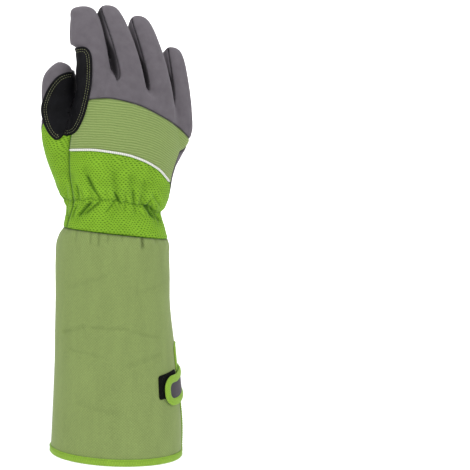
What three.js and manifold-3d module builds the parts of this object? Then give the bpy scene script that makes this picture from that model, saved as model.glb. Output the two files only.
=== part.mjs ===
// A rose pruning gauntlet for the right hand: a suede and stretch-fabric glove with a long canvas cuff.
// The back of the hand looks along -Y, the fingers point up +Z, and +X is the little finger's side.
// The origin is the centre of the cuff's mouth, where the forearm goes in. Lengths are in millimetres.

import * as THREE from "three";
import { mergeVertices } from "three/addons/utils/BufferGeometryUtils.js";
import Module from "manifold-3d";

const wasm = await Module();
wasm.setup();

// Driving dimensions of the cuff
const CUFF_LENGTH = 223;
const CUFF_MOUTH_WIDTH = 133;
const CUFF_MOUTH_DEPTH = 104;
const CUFF_WALL = 2.4;

// Driving dimensions of the hand
const HAND_LENGTH = 146; // wrist seam to the roots of the fingers
const WRIST_WIDTH = 106; // at the wrist seam
const WRIST_DEPTH = 72;
const PALM_WIDTH = 118;
const PALM_DEPTH = 37;
const FINGER_LENGTH = 100; // middle finger, from the knuckle
const FINGER_WIDTH = 29.5;
const FINGER_DEPTH = 26;
const FINGER_CURL = 36; // how far the middle fingertip bends towards the palm
const THUMB_LENGTH = 155; // from its base inside the wrist
const THUMB_WIDTH = 32;
const THUMB_DEPTH = 27;
const SUEDE_WALL = 1.6;

// Driving dimensions of the trim
const PATCH_WALL = 1.1; // the black reinforcement patches
const PIPING_RADIUS = 1.1;
const GATHER_DEPTH = 1.4; // of the pleats under the wrist elastic
const GATHER_REACH = 15; // how far up and down from the elastic they fade
const BINDING_WIDTH = 6.5;
const BINDING_WALL = 0.9;
const VENT_LENGTH = 112; // the slit that lets the cuff's mouth open
const VENT_WIDTH = 4.4;
const VENT_CORNER = 12;
const TAB_LENGTH = 68;
const TAB_WIDTH = 33;
const TAB_CORNER = 14;
const TAB_WALL = 1.4;
const TAB_HEIGHT = 73; // from the mouth to the middle of its free end
const TAB_BORDER = 5.5;
const LOOP_LENGTH = 30; // the black patch that the tab closes on
const LOOP_WIDTH = 24;
const LOOP_WALL = 1;
const TAB_LIFT = 1.95; // over the loop patch

// Clearances and faceting
const SEAM_GAP = 0.3; // between pieces that are sewn together
const BODY_SIDES = 48;
const FINGER_SIDES = 12;
const THUMB_SIDES = 16;
const HOLLOW_FINENESS = 0.5; // sides of the hollow inside, in shares of the outside's
const PALM_SQUARENESS = 2.35; // 2 is an ellipse, more is squarer
const CUFF_SQUARENESS = 2;
const FINGER_BEND = 1.6; // power of the curve that a bent finger follows
const VENT_ANGLE = -8; // degrees round from the little finger's side, at the mouth
const VENT_LEAN = 18; // and how much more at the slit's top
const TAB_ANGLE = 48; // where the tab's free end lies
const LOOP_ANGLE = 54; // where the loop patch starts
const TAB_RISE = 0.14; // how much the tab climbs along its length
const TAB_SINK = 0.7; // how much of its lift the tab loses at its sewn end
const TAB_SEWN = 0.7; // where along the tab its sewn end starts
const TAB_EDGE = 0.4; // how much thicker than the tab its tape is
const PIPING_LIFT = PIPING_RADIUS + 0.6; // of its middle line
const REACH = 60; // how far the cutting blocks reach past the surface
const FAR = 3 * REACH; // and past the whole hand
const WEDGE_REACH = 3; // the same for the wedges between two fingers
const CUT_PAST = 2; // how far a cut through a thin piece passes its faces
const OPEN_END = 5; // how far a hollow runs out of the open end it leads to
const EDGE_INSET = 2; // how far inside the hand's edge its front cloth may end
const HOLLOW_LIMIT = 0.3; // the most that a fingertip's hollow is inset, in shares of the fingertip's depth

const rad = THREE.MathUtils.degToRad;

// Cross-sections of the cuff, from the mouth (at 0) to the wrist seam (at 1).
// x is in shares of the mouth's width, turn and tilt in degrees.
const CUFF_SECTIONS = [
  { at: 0.0, x: 0.0, width: 1.0, depth: 1.0, turn: 6, tilt: 2.6 },
  { at: 0.158, x: 0.006, width: 0.985, depth: 0.98, turn: 6, tilt: 3 },
  { at: 0.41, x: -0.004, width: 0.93, depth: 0.94, turn: 8, tilt: 4 },
  { at: 0.515, x: -0.01, width: 0.913, depth: 0.92, turn: 9, tilt: 4.5 },
  { at: 0.697, x: -0.021, width: 0.872, depth: 0.9, turn: 10, tilt: 5 },
  { at: 0.842, x: -0.023, width: 0.874, depth: 0.88, turn: 12, tilt: 6 },
  { at: 0.93, x: -0.023, width: 0.866, depth: 0.87, turn: 13, tilt: 6.6 },
  { at: 0.972, x: -0.012, width: 0.843, depth: 0.83, turn: 14, tilt: 6.9 },
  { at: 1.0, x: -0.004, width: 0.797, depth: 0.735, turn: 14, tilt: 7 },
];
const CUFF_RINGS = [0, 0.12, 0.3, 0.5, 0.72, 0.86, 0.92, 0.96, 1];

// Cross-sections of the hand from the wrist seam (at 0) to the finger roots (at 1), and the webs above them.
// x is in shares of the palm's width. grow runs from the wrist's sizes (0) to the palm's (1).
// arch lifts the middle of the section towards the back of the hand, in shares of the palm's depth.
// seam is the angle of the seam between back and palm on the little finger's side, in degrees.
const HAND_SECTIONS = [
  { at: 0.0, x: -0.004, width: 1.0, depth: 1.0, grow: 0, arch: 0, turn: 14, tilt: 7, seam: -8 },
  { at: 0.072, x: -0.008, width: 0.953, depth: 0.93, grow: 0, arch: 0, turn: 15, tilt: 6, seam: -8 },
  { at: 0.14, x: -0.018, width: 0.899, depth: 0.86, grow: 0, arch: 0, turn: 16, tilt: 4, seam: -8 },
  { at: 0.202, x: 0.006, width: 0.95, depth: 0.87, grow: 0, arch: 0.02, turn: 17, tilt: 5, seam: -6 },
  { at: 0.305, x: 0.022, width: 0.9, depth: 1.54, grow: 1, arch: 0.06, turn: 19, tilt: 7, seam: 2 },
  { at: 0.442, x: 0.038, width: 0.955, depth: 1.4, grow: 1, arch: 0.12, turn: 21, tilt: 10, seam: 14 },
  { at: 0.579, x: 0.078, width: 0.995, depth: 1.27, grow: 1, arch: 0.18, turn: 23, tilt: 13, seam: 15 },
  { at: 0.716, x: 0.115, width: 1.03, depth: 1.15, grow: 1, arch: 0.22, turn: 24, tilt: 16, seam: 15 },
  { at: 0.839, x: 0.145, width: 1.025, depth: 1.04, grow: 1, arch: 0.25, turn: 25, tilt: 20, seam: 15 },
  { at: 0.921, x: 0.155, width: 0.99, depth: 0.9, grow: 1, arch: 0.27, turn: 25, tilt: 22, seam: 15 },
  { at: 0.965, x: 0.154, width: 0.96, depth: 0.76, grow: 1, arch: 0.27, turn: 25, tilt: 22.6, seam: 15 },
  { at: 1.0, x: 0.153, width: 0.93, depth: 0.52, grow: 1, arch: 0.2, turn: 25, tilt: 23, seam: 15 },
  { at: 1.09, x: 0.153, width: 0.86, depth: 0.32, grow: 1, arch: 0.0, turn: 25, tilt: 23, seam: 15 },
];
const HAND_RINGS = [0, 0.05, 0.1, 0.14, 0.18, 0.24, 0.33, 0.47, 0.62, 0.77, 0.9, 0.965, 1, 1.09];
const FRONT_RINGS = [-0.1, 0.2, 0.305, 0.38, 0.47, 0.79, 0.87, 1.12]; // of the block around the back's cloth
const THUMB_ROOT = 0.5; // from here up the back's cloth ends at the hand's own edge, inside the thumb
const THUMB_TOP = 0.8; // from here up it ends there altogether
const GATHER_AT = 0.14; // the elastic's place on the hand
const GATHER_COUNT = 16;
const CUFF_GATHER_SHARE = 0.5; // the cuff's pleats below the wrist seam are shallower

// The index, middle, ring and little finger. across and ahead are the finger's place on the hand in shares of
// the palm's width and depth. long, wide, deep, curl and lean are in shares of the finger sizes.
const FINGERS = [
  { across: -0.383, ahead: 0.08, turn: 18, long: 0.85, wide: 1.09, deep: 1.06, curl: 0.83, lean: -0.048 },
  { across: -0.05, ahead: 0.26, turn: 24, long: 0.99, wide: 1.02, deep: 1.0, curl: 1.0, lean: -0.146 },
  { across: 0.233, ahead: 0.26, turn: 30, long: 1.02, wide: 0.97, deep: 0.98, curl: 1.0, lean: -0.083 },
  { across: 0.462, ahead: 0.08, turn: 36, long: 0.83, wide: 0.86, deep: 0.9, curl: 0.61, lean: 0.044 },
];
const FINGER_ROOT = 0.83; // where the fingers start on the hand's axis

// The seams at the edges of each finger's back, in degrees of its girth.
const FINGER_SEAMS = [
  { right: 22, left: 205 },
  { right: 22, left: 140 },
  { right: 22, left: 152 },
  { right: 28, left: 145 },
];
const ROOT_SINK = 0.5; // how fast a finger's root sinks into the hand, in shares of the palm's depth
const SIDE_STRIP = 54; // degrees of a finger's girth that a strip between two fingers covers
const STRIP_RINGS = [-0.35, 0.1, 0.5, 0.955]; // where on the finger it lies

// The strips between the fingers. web is where the strip's lowest point lies, in shares of the hand's length
// above the wrist seam.
const FOURCHETTES = [
  { name: "fourchette_index_middle", from: 0, web: 0.97 },
  { name: "fourchette_middle_ring", from: 1, web: 0.88 },
  { name: "fourchette_ring_little", from: 2, web: 0.8 },
];

// How a finger's girth changes from its root (below 0, inside the hand) to its tip (at 1).
const FINGER_TAPER = [
  { at: -0.6, girth: 0.45 },
  { at: -0.25, girth: 0.86 },
  { at: 0.05, girth: 1.0 },
  { at: 0.4, girth: 0.99 },
  { at: 0.7, girth: 0.94 },
  { at: 0.88, girth: 0.83 },
  { at: 0.96, girth: 0.6 },
  { at: 1.0, girth: 0.16 },
];

// Cross-sections of the thumb from its base to its tip. x and y are in shares of the palm's width,
// wide and deep in shares of the thumb's own sizes. The wide middle rows are the ball of the thumb.
const THUMB_SECTIONS = [
  { at: 0.0, x: -0.195, y: 0.034, wide: 1.0, deep: 1.2 },
  { at: 0.116, x: -0.271, y: 0.017, wide: 1.25, deep: 1.33 },
  { at: 0.27, x: -0.339, y: -0.004, wide: 1.41, deep: 1.41 },
  { at: 0.426, x: -0.398, y: -0.017, wide: 1.5, deep: 1.33 },
  { at: 0.568, x: -0.402, y: -0.017, wide: 1.66, deep: 1.22 },
  { at: 0.697, x: -0.453, y: -0.017, wide: 1.22, deep: 1.11 },
  { at: 0.8, x: -0.478, y: -0.017, wide: 1.09, deep: 1.05 },
  { at: 0.89, x: -0.477, y: -0.017, wide: 1.0, deep: 1.0 },
  { at: 0.95, x: -0.477, y: -0.017, wide: 0.74, deep: 0.82 },
  { at: 0.985, x: -0.483, y: -0.017, wide: 0.42, deep: 0.52 },
  { at: 1.0, x: -0.49, y: -0.017, wide: 0.12, deep: 0.15 },
];
const THUMB_BASE = 0.1; // where the thumb starts on the hand's axis
const SIDE_PANEL_TOP = 7; // the row of the thumb's seam where the side panel meets it

// Seam lines as seen from the back of the hand. x is in shares of the palm's width from the middle of the
// cuff's mouth, z in shares of the hand's length above the wrist seam.
const KNUCKLE_SEAM = [
  { x: -0.295, z: 0.895 },
  { x: -0.221, z: 0.9 },
  { x: -0.139, z: 0.907 },
  { x: -0.046, z: 0.909 },
  { x: 0.065, z: 0.893 },
  { x: 0.172, z: 0.87 },
  { x: 0.256, z: 0.844 },
  { x: 0.34, z: 0.81 },
  { x: 0.493, z: 0.74 },
  { x: 0.604, z: 0.662 },
  { x: 0.8, z: 0.5 },
];
const PIPING_SEAM = [
  { x: -0.386, z: 0.569 },
  { x: -0.279, z: 0.571 },
  { x: -0.177, z: 0.57 },
  { x: -0.049, z: 0.557 },
  { x: 0.085, z: 0.538 },
  { x: 0.173, z: 0.516 },
  { x: 0.253, z: 0.489 },
  { x: 0.316, z: 0.46 },
  { x: 0.377, z: 0.423 },
  { x: 0.451, z: 0.351 },
];
const SIDE_SEAM = [
  { x: -0.329, z: 0.781 },
  { x: -0.379, z: 0.649 },
  { x: -0.39, z: 0.522 },
  { x: -0.385, z: 0.389 },
  { x: -0.368, z: 0.303 },
  { x: -0.357, z: 0.202 },
  { x: -0.403, z: 0.087 },
  { x: -0.435, z: -0.05 },
];
const THUMB_SEAM = [
  { x: -0.377, z: 1.186 },
  { x: -0.36, z: 1.125 },
  { x: -0.34, z: 1.065 },
  { x: -0.334, z: 1.011 },
  { x: -0.346, z: 0.937 },
  { x: -0.381, z: 0.822 },
  { x: -0.415, z: 0.729 },
  { x: -0.439, z: 0.689 },
  { x: -0.451, z: 0.672 },
  { x: -0.484, z: 0.655 },
  { x: -0.531, z: 0.675 },
  { x: -0.573, z: 0.722 },
  { x: -0.599, z: 0.776 },
  { x: -0.8, z: 0.8 },
];
const INDEX_PATCH = [
  { x: -0.37, z: 1.2 },
  { x: -0.36, z: 1.238 },
  { x: -0.325, z: 1.247 },
  { x: -0.262, z: 1.248 },
  { x: -0.221, z: 1.228 },
  { x: -0.2, z: 1.188 },
  { x: -0.193, z: 1.121 },
  { x: -0.195, z: 1.029 },
  { x: -0.208, z: 0.951 },
  { x: -0.229, z: 0.873 },
  { x: -0.258, z: 0.794 },
  { x: -0.295, z: 0.728 },
  { x: -0.337, z: 0.682 },
  { x: -0.397, z: 0.659 },
  { x: -0.426, z: 0.669 },
  { x: -0.405, z: 0.715 },
  { x: -0.373, z: 0.822 },
  { x: -0.339, z: 0.938 },
  { x: -0.327, z: 1.011 },
  { x: -0.329, z: 1.09 },
];
const THUMB_PATCH = [
  { x: -0.363, z: 1.095 },
  { x: -0.414, z: 1.082 },
  { x: -0.479, z: 1.055 },
  { x: -0.538, z: 1.002 },
  { x: -0.58, z: 0.929 },
  { x: -0.604, z: 0.85 },
  { x: -0.599, z: 0.769 },
  { x: -0.573, z: 0.702 },
  { x: -0.531, z: 0.655 },
  { x: -0.484, z: 0.632 },
  { x: -0.451, z: 0.655 },
  { x: -0.44, z: 0.672 },
  { x: -0.419, z: 0.715 },
  { x: -0.386, z: 0.822 },
  { x: -0.351, z: 0.937 },
  { x: -0.34, z: 1.011 },
  { x: -0.345, z: 1.065 },
];
const SIDE_LIMIT = -0.95; // past the thumb
const SIDE_EDGE = -0.49; // where the thumb's cloth leaves the hand's
const FRONT_LIMIT = 0.9; // past the little finger's side
const LOW_LIMIT = -0.1; // below the wrist seam
const THUMB_FRONT = 3; // how far behind the middle of the thumb its front cloth reaches

// The value of one column of a table at a place between its rows, on a smooth curve through them.
function column(rows, name, at) {
  const last = rows.length - 1;
  let i = 0;
  while (i < last - 1 && rows[i + 1].at < at) i += 1;
  const slope = (k) => {
    const before = rows[Math.max(k - 1, 0)];
    const after = rows[Math.min(k + 1, last)];
    return (after[name] - before[name]) / (after.at - before.at);
  };
  const span = rows[i + 1].at - rows[i].at;
  const t = THREE.MathUtils.clamp((at - rows[i].at) / span, 0, 1);
  const start = rows[i][name];
  const rise = rows[i + 1][name] - start;
  const bend = (slope(i) * span - rise) * (1 - t) - (slope(i + 1) * span - rise) * t;
  return start + t * (rise + (1 - t) * bend);
}

// A section: its centre, its direction across, its direction out of the back of the hand, and its sizes.
function cuffSection(at) {
  const value = (name) => column(CUFF_SECTIONS, name, at);
  return {
    centre: new THREE.Vector3(value("x") * CUFF_MOUTH_WIDTH, 0, at * CUFF_LENGTH),
    ...turned(value("turn"), value("tilt")),
    width: value("width") * CUFF_MOUTH_WIDTH,
    depth: value("depth") * CUFF_MOUTH_DEPTH,
    arch: 0,
    squareness: CUFF_SQUARENESS,
    pleat: pleatDepth(at * CUFF_LENGTH),
  };
}

function handSection(at) {
  const value = (name) => column(HAND_SECTIONS, name, at);
  const grow = value("grow");
  return {
    centre: new THREE.Vector3(value("x") * PALM_WIDTH, 0, CUFF_LENGTH + at * HAND_LENGTH),
    ...turned(value("turn"), value("tilt")),
    width: value("width") * THREE.MathUtils.lerp(WRIST_WIDTH, PALM_WIDTH, grow),
    depth: value("depth") * THREE.MathUtils.lerp(WRIST_DEPTH, PALM_DEPTH, grow),
    arch: value("arch") * PALM_DEPTH,
    squareness: PALM_SQUARENESS,
    pleat: pleatDepth(CUFF_LENGTH + at * HAND_LENGTH),
    seam: value("seam"),
  };
}

// The gathers are deepest at the wrist elastic, and shallower at the seam between hand and cuff.
function pleatDepth(height) {
  const fade = (middle, reach) => Math.cos((Math.PI / 2) * Math.min(Math.abs(height - middle) / reach, 1));
  const elastic = CUFF_LENGTH + GATHER_AT * HAND_LENGTH;
  const atSeam = CUFF_GATHER_SHARE * fade(CUFF_LENGTH, GATHER_REACH);
  return GATHER_DEPTH * Math.max(fade(elastic, GATHER_REACH), atSeam);
}

function turned(turnDegrees, tiltDegrees) {
  const turn = rad(turnDegrees);
  const tilt = rad(tiltDegrees);
  return {
    across: new THREE.Vector3(
      Math.cos(turn) * Math.cos(tilt),
      Math.sin(turn) * Math.cos(tilt),
      -Math.sin(tilt),
    ),
    out: new THREE.Vector3(Math.sin(turn), -Math.cos(turn), 0),
  };
}

// A point of a section's rounded outline. The angle is 0 on the little finger's side and 90 degrees on the
// back of the hand. inset moves it inwards, by a wall's thickness for instance.
function outlinePoint(section, angle, inset) {
  const power = 2 / section.squareness;
  const depth = inset - section.pleat * Math.cos(GATHER_COUNT * angle);
  const c = Math.cos(angle);
  const s = Math.sin(angle);
  const share = Math.sign(c) * Math.abs(c) ** power;
  const x = share * (section.width / 2 - depth);
  const y = Math.sign(s) * Math.abs(s) ** power * (section.depth / 2 - depth);
  const lift = section.arch * (0.5 - share * share);
  return section.centre.clone().addScaledVector(section.across, x).addScaledVector(section.out, y + lift);
}

function ring(section, sides, inset) {
  const count = inset > 0 ? Math.round(sides * HOLLOW_FINENESS) : sides;
  return Array.from({ length: count }, (_, k) => outlinePoint(section, (2 * Math.PI * k) / count, inset));
}

// A closed mesh through rings of points that all have as many points, with a flat fan over each end.
function loft(rings) {
  const sides = rings[0].length;
  const points = rings.flat();
  const faces = [];
  for (let i = 0; i + 1 < rings.length; i += 1)
    for (let k = 0; k < sides; k += 1) {
      const a = i * sides + k;
      const c = i * sides + ((k + 1) % sides);
      faces.push(a, a + sides, c, a + sides, c + sides, c);
    }
  const middle = (from) =>
    points
      .slice(from, from + sides)
      .reduce((sum, p) => sum.add(p), new THREE.Vector3())
      .divideScalar(sides);
  const lastRing = (rings.length - 1) * sides;
  points.push(middle(0), middle(lastRing));
  const bottom = points.length - 2;
  const top = points.length - 1;
  for (let k = 0; k < sides; k += 1) {
    const next = (k + 1) % sides;
    faces.push(bottom, k, next, top, lastRing + next, lastRing + k);
  }
  return closedMesh(points, faces);
}

function closedMesh(points, faces) {
  return new wasm.Manifold(
    new wasm.Mesh({
      numProp: 3,
      vertProperties: new Float32Array(points.flatMap((p) => [p.x, p.y, p.z])),
      triVerts: new Uint32Array(faces),
    }),
  );
}

// The main forms, each a closed solid whose surface lies inset inside the glove's outside.
function handBody(inset, below = 0) {
  const rings = HAND_RINGS.map((at) => ring(handSection(at), BODY_SIDES, inset));
  rings[0].forEach((p) => (p.z += SEAM_GAP));
  rings[rings.length - 1].forEach((p) => (p.z -= inset));
  if (below > 0) rings.unshift(rings[0].map((p) => p.clone().setZ(p.z - below)));
  return loft(rings);
}

function fingerSection(finger, at) {
  const below = (Math.min(at, 0) * finger.long * FINGER_LENGTH) / HAND_LENGTH;
  const base = handSection(FINGER_ROOT + below);
  const { across, out } = turned(finger.turn, 0);
  const bent = Math.max(at, 0) ** FINGER_BEND;
  const slope = FINGER_BEND * Math.max(at, 0) ** (FINGER_BEND - 1);
  const shift = across
    .clone()
    .multiplyScalar(finger.lean * FINGER_LENGTH)
    .addScaledVector(out, -finger.curl * FINGER_CURL);
  const centre = base.centre
    .clone()
    .addScaledVector(base.across, finger.across * PALM_WIDTH)
    .addScaledVector(base.out, (finger.ahead + Math.min(at, 0) * ROOT_SINK) * PALM_DEPTH)
    .addScaledVector(shift, bent);
  centre.z += Math.max(at, 0) * finger.long * FINGER_LENGTH;
  const rise = new THREE.Vector3(0, 0, finger.long * FINGER_LENGTH);
  const along = rise.addScaledVector(shift, slope).normalize();
  const level = across.clone().addScaledVector(along, -across.dot(along)).normalize();
  const outward = new THREE.Vector3().crossVectors(level, along).normalize();
  return { centre, across: level, out: outward, arch: 0, squareness: PALM_SQUARENESS, pleat: 0 };
}

function fingerForm(finger, inset) {
  const shorten = inset / (finger.long * FINGER_LENGTH);
  const rings = FINGER_TAPER.map((row) => {
    const section = fingerSection(finger, row.at - Math.max(row.at, 0) * shorten);
    section.width = row.girth * finger.wide * FINGER_WIDTH;
    section.depth = row.girth * finger.deep * FINGER_DEPTH;
    return ring(section, FINGER_SIDES, Math.min(inset, HOLLOW_LIMIT * section.depth));
  });
  return loft(rings);
}

function thumbForm(inset) {
  const base = CUFF_LENGTH + THUMB_BASE * HAND_LENGTH;
  const rings = THUMB_SECTIONS.map((row) => {
    const height = base + row.at * (THUMB_LENGTH - inset);
    const section = {
      centre: new THREE.Vector3(row.x * PALM_WIDTH, row.y * PALM_WIDTH, height),
      ...turned(0, 0),
      width: row.wide * THUMB_WIDTH,
      depth: row.deep * THUMB_DEPTH,
      arch: 0,
      squareness: PALM_SQUARENESS,
      pleat: 0,
    };
    return ring(section, THUMB_SIDES, Math.min(inset, HOLLOW_LIMIT * section.depth));
  });
  return loft(rings);
}

const join = (solids) => solids.reduce((all, solid) => all.add(solid));

function handForm(inset, below = 0) {
  const fingers = FINGERS.map((finger) => fingerForm(finger, inset));
  return join([handBody(inset, below), thumbForm(inset), ...fingers]);
}

function cuffForm(inset, beyond = 0) {
  const rings = CUFF_RINGS.map((at) => ring(cuffSection(at), BODY_SIDES, inset));
  if (beyond > 0) {
    rings.unshift(rings[0].map((p) => p.clone().setZ(p.z - beyond)));
    rings.push(rings[rings.length - 1].map((p) => p.clone().setZ(p.z + beyond)));
  }
  return loft(rings);
}

// A closed mesh over a grid of points with two faces, the inner at side 0 and the outer at side 1.
function slab(columns, rows, point) {
  const wide = columns.length;
  const tall = rows.length;
  const points = [0, 1].flatMap((side) => rows.flatMap((v) => columns.map((u) => point(u, v, side))));
  const index = (i, j, side) => (side * tall + j) * wide + i;
  const faces = [];
  const quad = (a, b, c, d) => faces.push(a, b, c, a, c, d);
  for (let j = 0; j + 1 < tall; j += 1)
    for (let i = 0; i + 1 < wide; i += 1) {
      quad(index(i, j, 1), index(i + 1, j, 1), index(i + 1, j + 1, 1), index(i, j + 1, 1));
      quad(index(i, j, 0), index(i, j + 1, 0), index(i + 1, j + 1, 0), index(i + 1, j, 0));
    }
  for (let i = 0; i + 1 < wide; i += 1) {
    quad(index(i, 0, 0), index(i + 1, 0, 0), index(i + 1, 0, 1), index(i, 0, 1));
    quad(index(i, tall - 1, 1), index(i + 1, tall - 1, 1), index(i + 1, tall - 1, 0), index(i, tall - 1, 0));
  }
  for (let j = 0; j + 1 < tall; j += 1) {
    quad(index(0, j, 1), index(0, j + 1, 1), index(0, j + 1, 0), index(0, j, 0));
    quad(index(wide - 1, j, 0), index(wide - 1, j + 1, 0), index(wide - 1, j + 1, 1), index(wide - 1, j, 1));
  }
  return closedMesh(points, faces);
}

// A point on the cuff, so far round it from an angle and so high above its mouth, lifted off its surface.
function cuffPoint(angle, around, height, lift) {
  const section = cuffSection(THREE.MathUtils.clamp(height / CUFF_LENGTH, 0, 1));
  section.centre.z = height;
  const local = (r) => Math.hypot(Math.sin(r) * section.width, Math.cos(r) * section.depth) / 2;
  const middle = angle + around / 2 / local(angle);
  return outlinePoint(section, angle + around / local(middle), -lift);
}

// What the cuff's mouth and the slit take away. grow widens it into the cuff's cloth.
function cuffOpening(grow) {
  const radius = VENT_CORNER - grow;
  const corners = [0, 35, 62, 90].map((degrees) => ({
    height: VENT_CORNER - radius * Math.cos(rad(degrees)),
    half: VENT_WIDTH / 2 + VENT_CORNER - radius * Math.sin(rad(degrees)),
  }));
  const straight = [0.5, 1].map((share) => ({
    height: share * VENT_LENGTH + grow * share,
    half: VENT_WIDTH / 2 + grow,
  }));
  const rings = [{ ...corners[0], height: -REACH / 2 }, ...corners, ...straight].map(({ height, half }) => {
    const angle = ventAngle(height);
    const inside = cuffPoint(angle, 0, height, -REACH / 4);
    return [
      cuffPoint(angle, -half, height, REACH / 4),
      cuffPoint(angle, half, height, REACH / 4),
      inside.clone().add(cuffPoint(angle, half, height, 0)).sub(cuffPoint(angle, 0, height, 0)),
      inside.clone().add(cuffPoint(angle, -half, height, 0)).sub(cuffPoint(angle, 0, height, 0)),
    ];
  });
  const mouth = [-REACH, grow].map((height) => ring(mouthSection(height), 4, -REACH));
  return loft(rings).add(loft(mouth));
}

const ventAngle = (height) => rad(VENT_ANGLE + (VENT_LEAN * Math.max(height, 0)) / VENT_LENGTH);

function mouthSection(height) {
  const section = cuffSection(0);
  section.centre.z = height;
  return section;
}

// The tab's outline in steps from its free end: how far along, and half as wide as it is there.
// inset is how far inside the tab's edge the outline lies.
function tabSteps(inset) {
  const radius = TAB_CORNER - inset;
  const round = [8, 30, 50, 70, 90].map((degrees) => ({
    along: TAB_CORNER - radius * Math.cos(rad(degrees)),
    half: TAB_WIDTH / 2 - inset - radius * (1 - Math.sin(rad(degrees))),
  }));
  const straight = [0.4, 0.55, 0.7, 0.85, 1].map((share) => ({
    along: share * (TAB_LENGTH - inset),
    half: TAB_WIDTH / 2 - inset,
  }));
  return [...round, ...straight];
}

// The tab follows the cuff, rising a little towards its sewn end.
function tabForm(inset, low, high) {
  const point = ({ along, half }, across, side) => {
    const sewn = THREE.MathUtils.smoothstep(along, TAB_SEWN * TAB_LENGTH, TAB_LENGTH);
    const lift = TAB_LIFT * (1 - TAB_SINK * sewn);
    const height = TAB_HEIGHT + along * TAB_RISE + across * half;
    return cuffPoint(rad(TAB_ANGLE), -along, height, lift + (side ? high : low));
  };
  return slab(tabSteps(inset), [-1, 0, 1], point);
}

// The cord that lies in the seam between the elastic panel and the wrist.
function pipingForm() {
  const place = ({ x, z }) => frontPoint(x * PALM_WIDTH, CUFF_LENGTH + z * HAND_LENGTH, PIPING_LIFT);
  const route = PIPING_SEAM.map(place);
  const curve = new THREE.CatmullRomCurve3(route);
  const circle = new THREE.Shape().absarc(0, 0, PIPING_RADIUS, 0, 2 * Math.PI);
  const options = { steps: route.length + 4, curveSegments: 4, extrudePath: curve, bevelEnabled: false };
  return solidOf(new THREE.ExtrudeGeometry(circle, options));
}

// The point of the back of the hand that lies at x and z, lifted off the surface.
function frontPoint(x, z, lift) {
  let at = (z - CUFF_LENGTH) / HAND_LENGTH;
  let angle = Math.PI / 2;
  for (let round = 0; round < 12; round += 1) {
    const here = outlinePoint(handSection(at), angle, -lift);
    const step = 0.01;
    const aside = outlinePoint(handSection(at), angle + step, -lift);
    angle += (step * (x - here.x)) / (aside.x - here.x);
    at += (z - outlinePoint(handSection(at), angle, -lift).z) / HAND_LENGTH;
  }
  return outlinePoint(handSection(at), angle, -lift);
}

// A closed solid from a three.js geometry.
function solidOf(geometry) {
  geometry.deleteAttribute("normal");
  geometry.deleteAttribute("uv");
  const merged = mergeVertices(geometry, 1e-5);
  return new wasm.Manifold(
    new wasm.Mesh({
      numProp: 3,
      vertProperties: Float32Array.from(merged.getAttribute("position").array),
      triVerts: Uint32Array.from(merged.getIndex().array),
    }),
  );
}

// An outline with every side moved outwards by a distance.
function grown(points, distance) {
  const way = THREE.ShapeUtils.area(points) > 0 ? 1 : -1;
  return points.map((p, i) => {
    const before = p.clone().sub(points.at(i - 1)).normalize();
    const after = points[(i + 1) % points.length].clone().sub(p).normalize();
    const reach = (way * distance) / Math.max(1 + before.dot(after), 0.5);
    return new THREE.Vector2(p.x + reach * (before.y + after.y), p.y - reach * (before.x + after.x));
  });
}

// A block with the given outline as seen from the back of the hand.
// back is how far behind the middle it reaches.
function prism(outline, grow = 0, back = 2 * REACH) {
  const points = outline.map(({ x, z }) => new THREE.Vector2(x * PALM_WIDTH, CUFF_LENGTH + z * HAND_LENGTH));
  const shape = new THREE.Shape(grown(points, grow));
  const geometry = new THREE.ExtrudeGeometry(shape, { depth: 2 * REACH + back, bevelEnabled: false });
  return solidOf(geometry.rotateX(Math.PI / 2).translate(0, back, 0));
}

// Everything in front of the seams along the hand's two edges. gap moves its boundary towards the palm.
function handFront(gap) {
  const rings = FRONT_RINGS.map((at) => {
    const section = handSection(at);
    const right = outlinePoint(section, rad(section.seam), -REACH);
    const back = section.out.clone().multiplyScalar(-gap);
    const ownEdge = outlinePoint(section, Math.PI, EDGE_INSET);
    const farEdge = outlinePoint(section, Math.PI, -REACH);
    const thumbEdge = new THREE.Vector3(SIDE_EDGE * PALM_WIDTH, THUMB_FRONT, section.centre.z);
    const left = at < THUMB_TOP ? thumbEdge.clone().setX(-FAR) : farEdge;
    const between = at < THUMB_TOP ? thumbEdge : farEdge.clone().lerp(ownEdge, 0.5);
    const inner = at < THUMB_ROOT ? section.centre.clone().lerp(thumbEdge, 0.5) : ownEdge;
    const corner = (x, y) => new THREE.Vector3(x, y, section.centre.z);
    return [
      right.clone().add(back),
      corner(right.x + REACH, -FAR),
      corner(-FAR, -FAR),
      left.add(back),
      between.add(back),
      inner.add(back),
      section.centre.clone().add(back),
    ];
  });
  return loft(rings);
}

// A wedge of a finger between two angles of its girth, reaching a little past its surface.
function fingerWedge(finger, right, left, gap) {
  return STRIP_RINGS.map((at) => {
    const section = fingerSection(finger, at);
    section.width = finger.wide * FINGER_WIDTH;
    section.depth = finger.deep * FINGER_DEPTH;
    const spread = THREE.MathUtils.radToDeg((2 * gap) / section.depth);
    const edge = (share) => {
      const angle = THREE.MathUtils.lerp(right - spread, left + spread, share);
      return outlinePoint(section, rad(angle), -WEDGE_REACH - 2 * gap);
    };
    const middle = rad((right + left) / 2);
    section.centre.addScaledVector(section.across, -gap * Math.cos(middle));
    section.centre.addScaledVector(section.out, -gap * Math.sin(middle));
    return [edge(0), edge(1 / 3), edge(2 / 3), edge(1), section.centre];
  });
}

// The cloth that makes the back of the glove, from the seam on one edge to the seam on the other.
function front(gap) {
  const backs = FINGERS.map((finger, i) => {
    const rings = fingerWedge(finger, FINGER_SEAMS[i].right, FINGER_SEAMS[i].left, gap);
    const tip = rings.at(-1).map((p) => p.clone().setZ(p.z + REACH));
    return loft([...rings, tip]);
  });
  return join([handFront(gap), ...backs]);
}

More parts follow.
